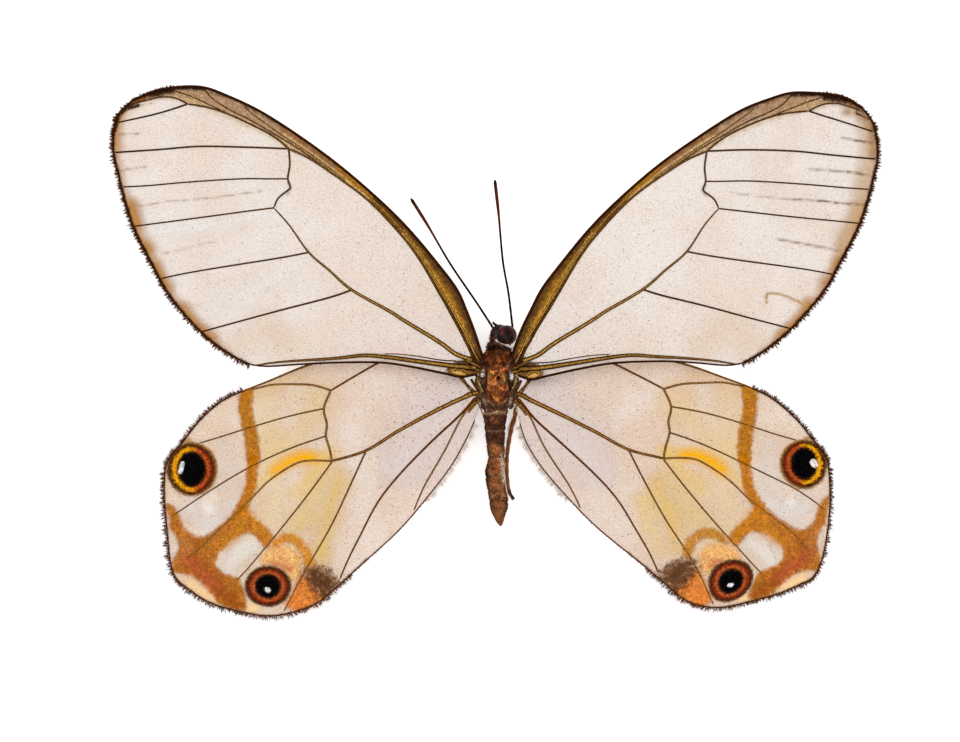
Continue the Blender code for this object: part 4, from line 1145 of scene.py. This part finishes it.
for name in SEGMENTS:
    points -= normals * (SEGMENT_GROOVE * np.exp(-np.maximum(skin_paints[name], 0) ** 2)
                         * (skin_paints["limb"] < 0.5))[:, None]
points[:, 2] -= PIN_HOLE_DEEP * np.exp(-skin_paints["hole"] ** 4) * (points[:, 2] > 3)
points = points * MM + (0, AHEAD, 0)
rough_skin.data.vertices.foreach_set("co", points.ravel())
paint(rough_skin.data, skin_paints)
rough_skin.data.update()
rough_skin.data.shade_smooth()
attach(rough_skin, "root")
for node in ("head", "thorax", "abdomen", *LIMBS):
    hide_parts(node)


def dress_body(finish):
    """Brown plates with markings, painted highlights and a pin hole in painted shade, on the skin or its
    scales.
    """
    fine = finish.grain(0.11 * MM, detail=3, roughness=0.75)
    mottle = finish.grain(0.30 * MM, detail=3)
    ragged = (fine - 0.5) * 1.2 + (mottle - 0.5) * 1.2
    tone = finish.mix(seen(88, 50, 28), seen(142, 84, 44), finish.value("far back"))
    tone = finish.mix(tone, seen(44, 26, 18), mottle.over(0.5, 0.62) * 0.8)
    tone = finish.mix(tone, seen(170, 112, 68), fine.over(0.52, 0.72) * 0.7)
    blot = finish.grain(0.55 * MM, detail=4, roughness=0.7)
    tone = finish.mix(tone, seen(36, 20, 13), blot.over(0.50, 0.60) * 0.7)
    tone = finish.mix(tone, seen(196, 130, 84), (1 - blot.over(0.36, 0.44)) * 0.6)
    for name, (_, _, colour, soft, rag, strength) in BODY_MARKS.items():
        amount = 1 - (finish.value(name) + ragged * (2 * rag)).over(-soft / 2, soft / 2)
        speckled = finish.mix(seen(*colour), toned(colour, 0.45), fine.over(0.46, 0.60))
        speckled = finish.mix(speckled, toned(colour, 1.35, 12), mottle.over(0.52, 0.64))
        tone = finish.mix(tone, speckled, amount * strength * finish.value("upward"))
    for name in SEGMENTS:
        line = 1 - (finish.value(name) + ragged * 1.5).over(-0.6, 1.0)
        tone = finish.mix(tone, seen(40, 22, 15), line * 0.55)
    # Painted shade: the pin hole is coloured near black, standing in for the shade inside the hole
    hole = 1 - finish.value("hole").over(0.75, 1.15)
    tone = finish.mix(tone, seen(12, 6, 4), hole * finish.value("upward"))
    leg_tone = finish.mix(seen(150, 88, 44), seen(96, 54, 28), mottle.over(0.45, 0.65))
    leg_tone = finish.mix(seen(30, 16, 10), leg_tone, finish.value("foot").over(-1.5, 1.5))
    tone = finish.mix(tone, leg_tone, finish.value("limb"))
    shade = finish.value("shade")
    tone = finish.mix(tone, (0.30, 0.25, 0.22, 1), shade.over(0.50, 0.95), "MULTIPLY")
    tone = finish.mix(tone, (1.7, 1.45, 1.3, 1), 1 - shade.over(0.05, 0.45), "MULTIPLY")
    finish.feed("Base Color", tone)
    finish.bump(fine * 0.5 + mottle, 0.8, 0.12 * MM)


dress_body(skin_finish)

# Eyes: glossy dark red-brown domes on both faces of the tilted head, the right one looking up.
EYES = {"eye_right": ((-0.72, -3.38, 2.28), 52), "eye_left": ((-0.24, -3.43, 1.70), 232)}
EYE_HALF = (0.90, 0.78, 0.57)
FACET = 0.02 * MM
eye_finish = mingled("eye_lens", (16, 7, 5), (68, 25, 18), 0.45 * MM, 0.42, 0.66,
                     Roughness=0.2, Specular_IOR_Level=0.14)
facets = eye_finish.node("ShaderNodeTexVoronoi", None, {"Vector": eye_finish.place(), "Scale": 1 / FACET})
eye_finish.bump(1 - Shade(eye_finish, facets.outputs["Distance"]), 0.25, 0.006 * MM)
for node, (middle, roll) in EYES.items():
    points, faces = ball(middle, EYE_HALF, (0, roll - 90, 0))
    eye = make_mesh(node + "_lens", points * MM + (0, AHEAD, 0), faces, eye_finish)
    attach(eye, "root")
    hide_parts(node)


# Feelers: slender ringed threads that thicken to a dark club, and the tongue coiled under
# the head.
FEELERS = {
    "antenna_left": [(493.7, 329.1, 2.45), (476.8, 303.1, 2.5), (450.2, 263.8, 2.5), (428.4, 226.6, 2.5),
        (410.9, 198.6, 2.45)],
    "antenna_right": [(512.6, 328.4, 1.9), (508.4, 293.3, 2.3), (502.8, 261, 2.4), (498.6, 214.7, 2.5),
        (494.8, 180.3, 2.45)],
}
FEELER_RADIUS = 0.085
CLUB_RADIUS = 0.13
CLUB_START = 0.68
feeler_finish = Finish("feeler_chitin", Roughness=0.45, Specular_IOR_Level=0.0)
rings = feeler_finish.node("ShaderNodeTexWave", {"wave_type": "BANDS", "bands_direction": "Y"},
                           {"Vector": feeler_finish.place(), "Scale": 1 / (1.3 * MM)})
feeler_rings = Shade(feeler_finish, rings.outputs["Fac"])
feeler_along = feeler_finish.value("along")
feeler_tone = feeler_finish.mix(seen(34, 12, 6), seen(14, 5, 3), feeler_rings)
feeler_tone = feeler_finish.mix(feeler_tone, seen(92, 38, 22), feeler_along.over(0.6, 0.75) * 0.8)
feeler_tone = feeler_finish.mix(feeler_tone, seen(26, 14, 12), feeler_along.over(0.9, 0.97))
feeler_finish.feed("Base Color", feeler_tone)
feeler_finish.bump(feeler_rings, 0.4, 0.01 * MM)
for node, line in FEELERS.items():
    columns, rows, heights = np.array(line).T
    path = smooth_line(np.column_stack([(MIDLINE_COLUMN - columns) * SQUARE / MM,
                                        (rows - ROOT_ROW) * SQUARE / MM, heights]), 0.12)
    along = np.linspace(0, 1, len(path))
    swell = np.clip((along - CLUB_START) / 0.2, 0, 1)
    radii = FEELER_RADIUS + (CLUB_RADIUS - FEELER_RADIUS) * swell * swell * (3 - 2 * swell)
    radii *= np.clip((1 - along) / 0.03, 0.25, 1) ** 0.5
    points, faces, _ = tube_mesh(path, radii, sides=10)
    along = np.append(np.repeat(along, 10), [0, 1])
    feeler = make_mesh(node + "_thread", points * MM + (0, AHEAD, 0), faces, feeler_finish,
                       {"along": along})
    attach(feeler, "root")
    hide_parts(node)

TONGUE_MIDDLE = (-0.35, -3.75, 0.85)
TONGUE_TURNS = 2.6
TONGUE_OUTER = 0.27
TONGUE_INNER = 0.07
tongue_finish = mingled("tongue_chitin", (120, 70, 36), (60, 34, 20), 0.1 * MM, 0.4, 0.6,
                        Roughness=0.4, Specular_IOR_Level=0.35)
turn = np.linspace(0, TONGUE_TURNS * 2 * np.pi, 90)
reach = TONGUE_OUTER + (TONGUE_INNER - TONGUE_OUTER) * turn / turn[-1]
coil = np.column_stack([0.02 * np.cos(turn), reach * np.cos(turn), reach * np.sin(turn)]) + TONGUE_MIDDLE
coil = np.vstack([(-0.38, -3.62, 1.55), (-0.36, -3.5, 1.2), coil])
points, faces, _ = tube_mesh(coil, np.linspace(0.055, 0.03, len(coil)), sides=8)
tongue = make_mesh("tongue_coil", points * MM + (0, AHEAD, 0), faces, tongue_finish)
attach(tongue, "root")
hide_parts("proboscis")


# Body coat: short brown hairs over head and chest, pale hairs behind the hindwing roots and flat
# scales on the hind body, each rooted in the skin and painted as the skin is.
coat_finish = Finish("body_coat", Roughness=0.65, Specular_IOR_Level=0.04)
dress_body(coat_finish)
triangles = []
for polygon in rough_skin.data.polygons:
    corners = list(polygon.vertices)
    for k in range(1, len(corners) - 1):
        triangles.append((corners[0], corners[k], corners[k + 1]))
triangles = np.array(triangles)
skin_points = of_points(rough_skin.data, "co")
a, b, c = (skin_points[triangles[:, i]] for i in range(3))
slopes = np.cross(b - a, c - a)
areas = np.linalg.norm(slopes, axis=1) / 2
slopes /= np.maximum(2 * areas, 1e-18)[:, None]
# name: how many, rows it covers, length and width in mm, how far it lifts, shade range
COATS = {
    "chest_hair": (3600, (334, 364), (0.12, 0.34), 0.026, (0.2, 0.9), (0.0, 1.0)),
    "chest_scales": (6000, (358, 414), (0.05, 0.11), 0.035, (0.05, 0.35), (0.1, 0.9)),
    "head_hair": (1300, (322, 350), (0.06, 0.15), 0.018, (0.3, 0.9), (0.5, 1.0)),
    "hind_scales": (9000, (410, 526), (0.08, 0.15), 0.05, (0.05, 0.25), (0.2, 0.85)),
}


def body_blades(name, chosen, length, width, lift, shade):
    """Blades rooted on the chosen skin triangles, lying towards the tail."""
    count = len(chosen)
    mixing = luck.dirichlet((1, 1, 1), count)
    corners = triangles[chosen]
    roots = (skin_points[corners] * mixing[:, :, None]).sum(axis=1)
    up = slopes[chosen]
    flow = np.column_stack([np.sign(roots[:, 0]) * 0.25, np.ones(count), np.zeros(count)])
    ahead = roots[:, 1] < AHEAD - 3.5 * MM
    flow[ahead, 1] = -1.0
    flow += luck.normal(0, 0.28, flow.shape)
    flow -= up * (flow * up).sum(axis=1)[:, None]
    flow /= np.linalg.norm(flow, axis=1)[:, None]
    flow += up * luck.uniform(*lift, count)[:, None]
    size = luck.uniform(*length, count) * MM
    tips = roots + flow * size[:, None]
    tips[:, 2] = np.maximum(tips[:, 2], 0.02 * MM)
    paints = {key: (values[corners] * mixing).sum(axis=1) for key, values in skin_paints.items()}
    paints["shade"] = luck.uniform(*shade, count)
    turn = np.arctan2(roots[:, 0], roots[:, 2] - 1.6 * MM) / (2 * np.pi) + 0.5
    along = (roots[:, 1] - AHEAD + 4.5 * MM) / (16 * MM)
    coat = blades(name, roots - up * 0.01 * MM, tips, np.full(count, width * MM), coat_finish,
                  np.column_stack([turn * 0.96 + 0.02, along]), paints, bow=0.06)


nape_line = smooth_line([(496.0, 339.8), (501, 342.2), (507, 345.0), (512.6, 347.6)], 0.3)
ends = []
for spot in np.repeat(nape_line, 9, axis=0) + luck.normal(0, 0.42, (9 * len(nape_line), 2)):
    x, y = on_paper(*spot)
    near = np.linalg.norm(skin_points[:, :2] - (x, y), axis=1) < 0.05 * MM
    ends.append((x, y, skin_points[near, 2].max() if near.any() else 2.3 * MM))
ends = np.array(ends)
white_finish = mingled("nape_scales", (252, 248, 240), (214, 196, 176), 0.2 * MM, 0.5, 0.7,
                       Roughness=0.6, Specular_IOR_Level=0.15)
tips = ends + np.column_stack([luck.normal(-0.02, 0.04, len(ends)), luck.normal(0.05, 0.03, len(ends)),
                               luck.uniform(0.02, 0.10, len(ends))]) * MM
nape = blades("nape_scales", ends + (0, 0, 0.02 * MM), tips + (0, 0, 0.04 * MM),
              np.full(len(ends), 0.05 * MM), white_finish,
              np.column_stack([ends[:, 0] / (4 * MM) + 0.5, (ends[:, 1] - AHEAD) / (16 * MM) + 0.28]))

# How far off the white nape hair keeps
NAPE_BARE = {"chest_hair": 2.5, "head_hair": 1.2}
middles = (a + b + c) / 3
rows = ROOT_ROW + (middles[:, 1] - AHEAD) / SQUARE
limbs = skin_paints["limb"][triangles].max(axis=1)
nape_gap = skin_paints["nape"][triangles].min(axis=1)
for name, (count, span, length, width, lift, shade) in COATS.items():
    weight = areas * (rows > span[0]) * (rows < span[1]) * (limbs < 0.4)
    weight *= nape_gap > NAPE_BARE.get(name, -FAR_OFF)
    if name == "chest_hair":
        weight *= (rows > 341) | (slopes[:, 0] > 0.45)
    if name == "chest_scales":
        on_plate = skin_paints["plate"][triangles].max(axis=1) < -1
        on_plate |= abs(middles[:, 0]) > 1.12 * MM
        weight *= np.where(on_plate & (slopes[:, 2] > 0.3), 0.25, 1.0)
    if name == "head_hair":
        weight *= slopes[:, 0] > -0.25
    chosen = luck.choice(len(triangles), count, p=weight / weight.sum())
    body_blades(name, chosen, length, width, lift, shade)
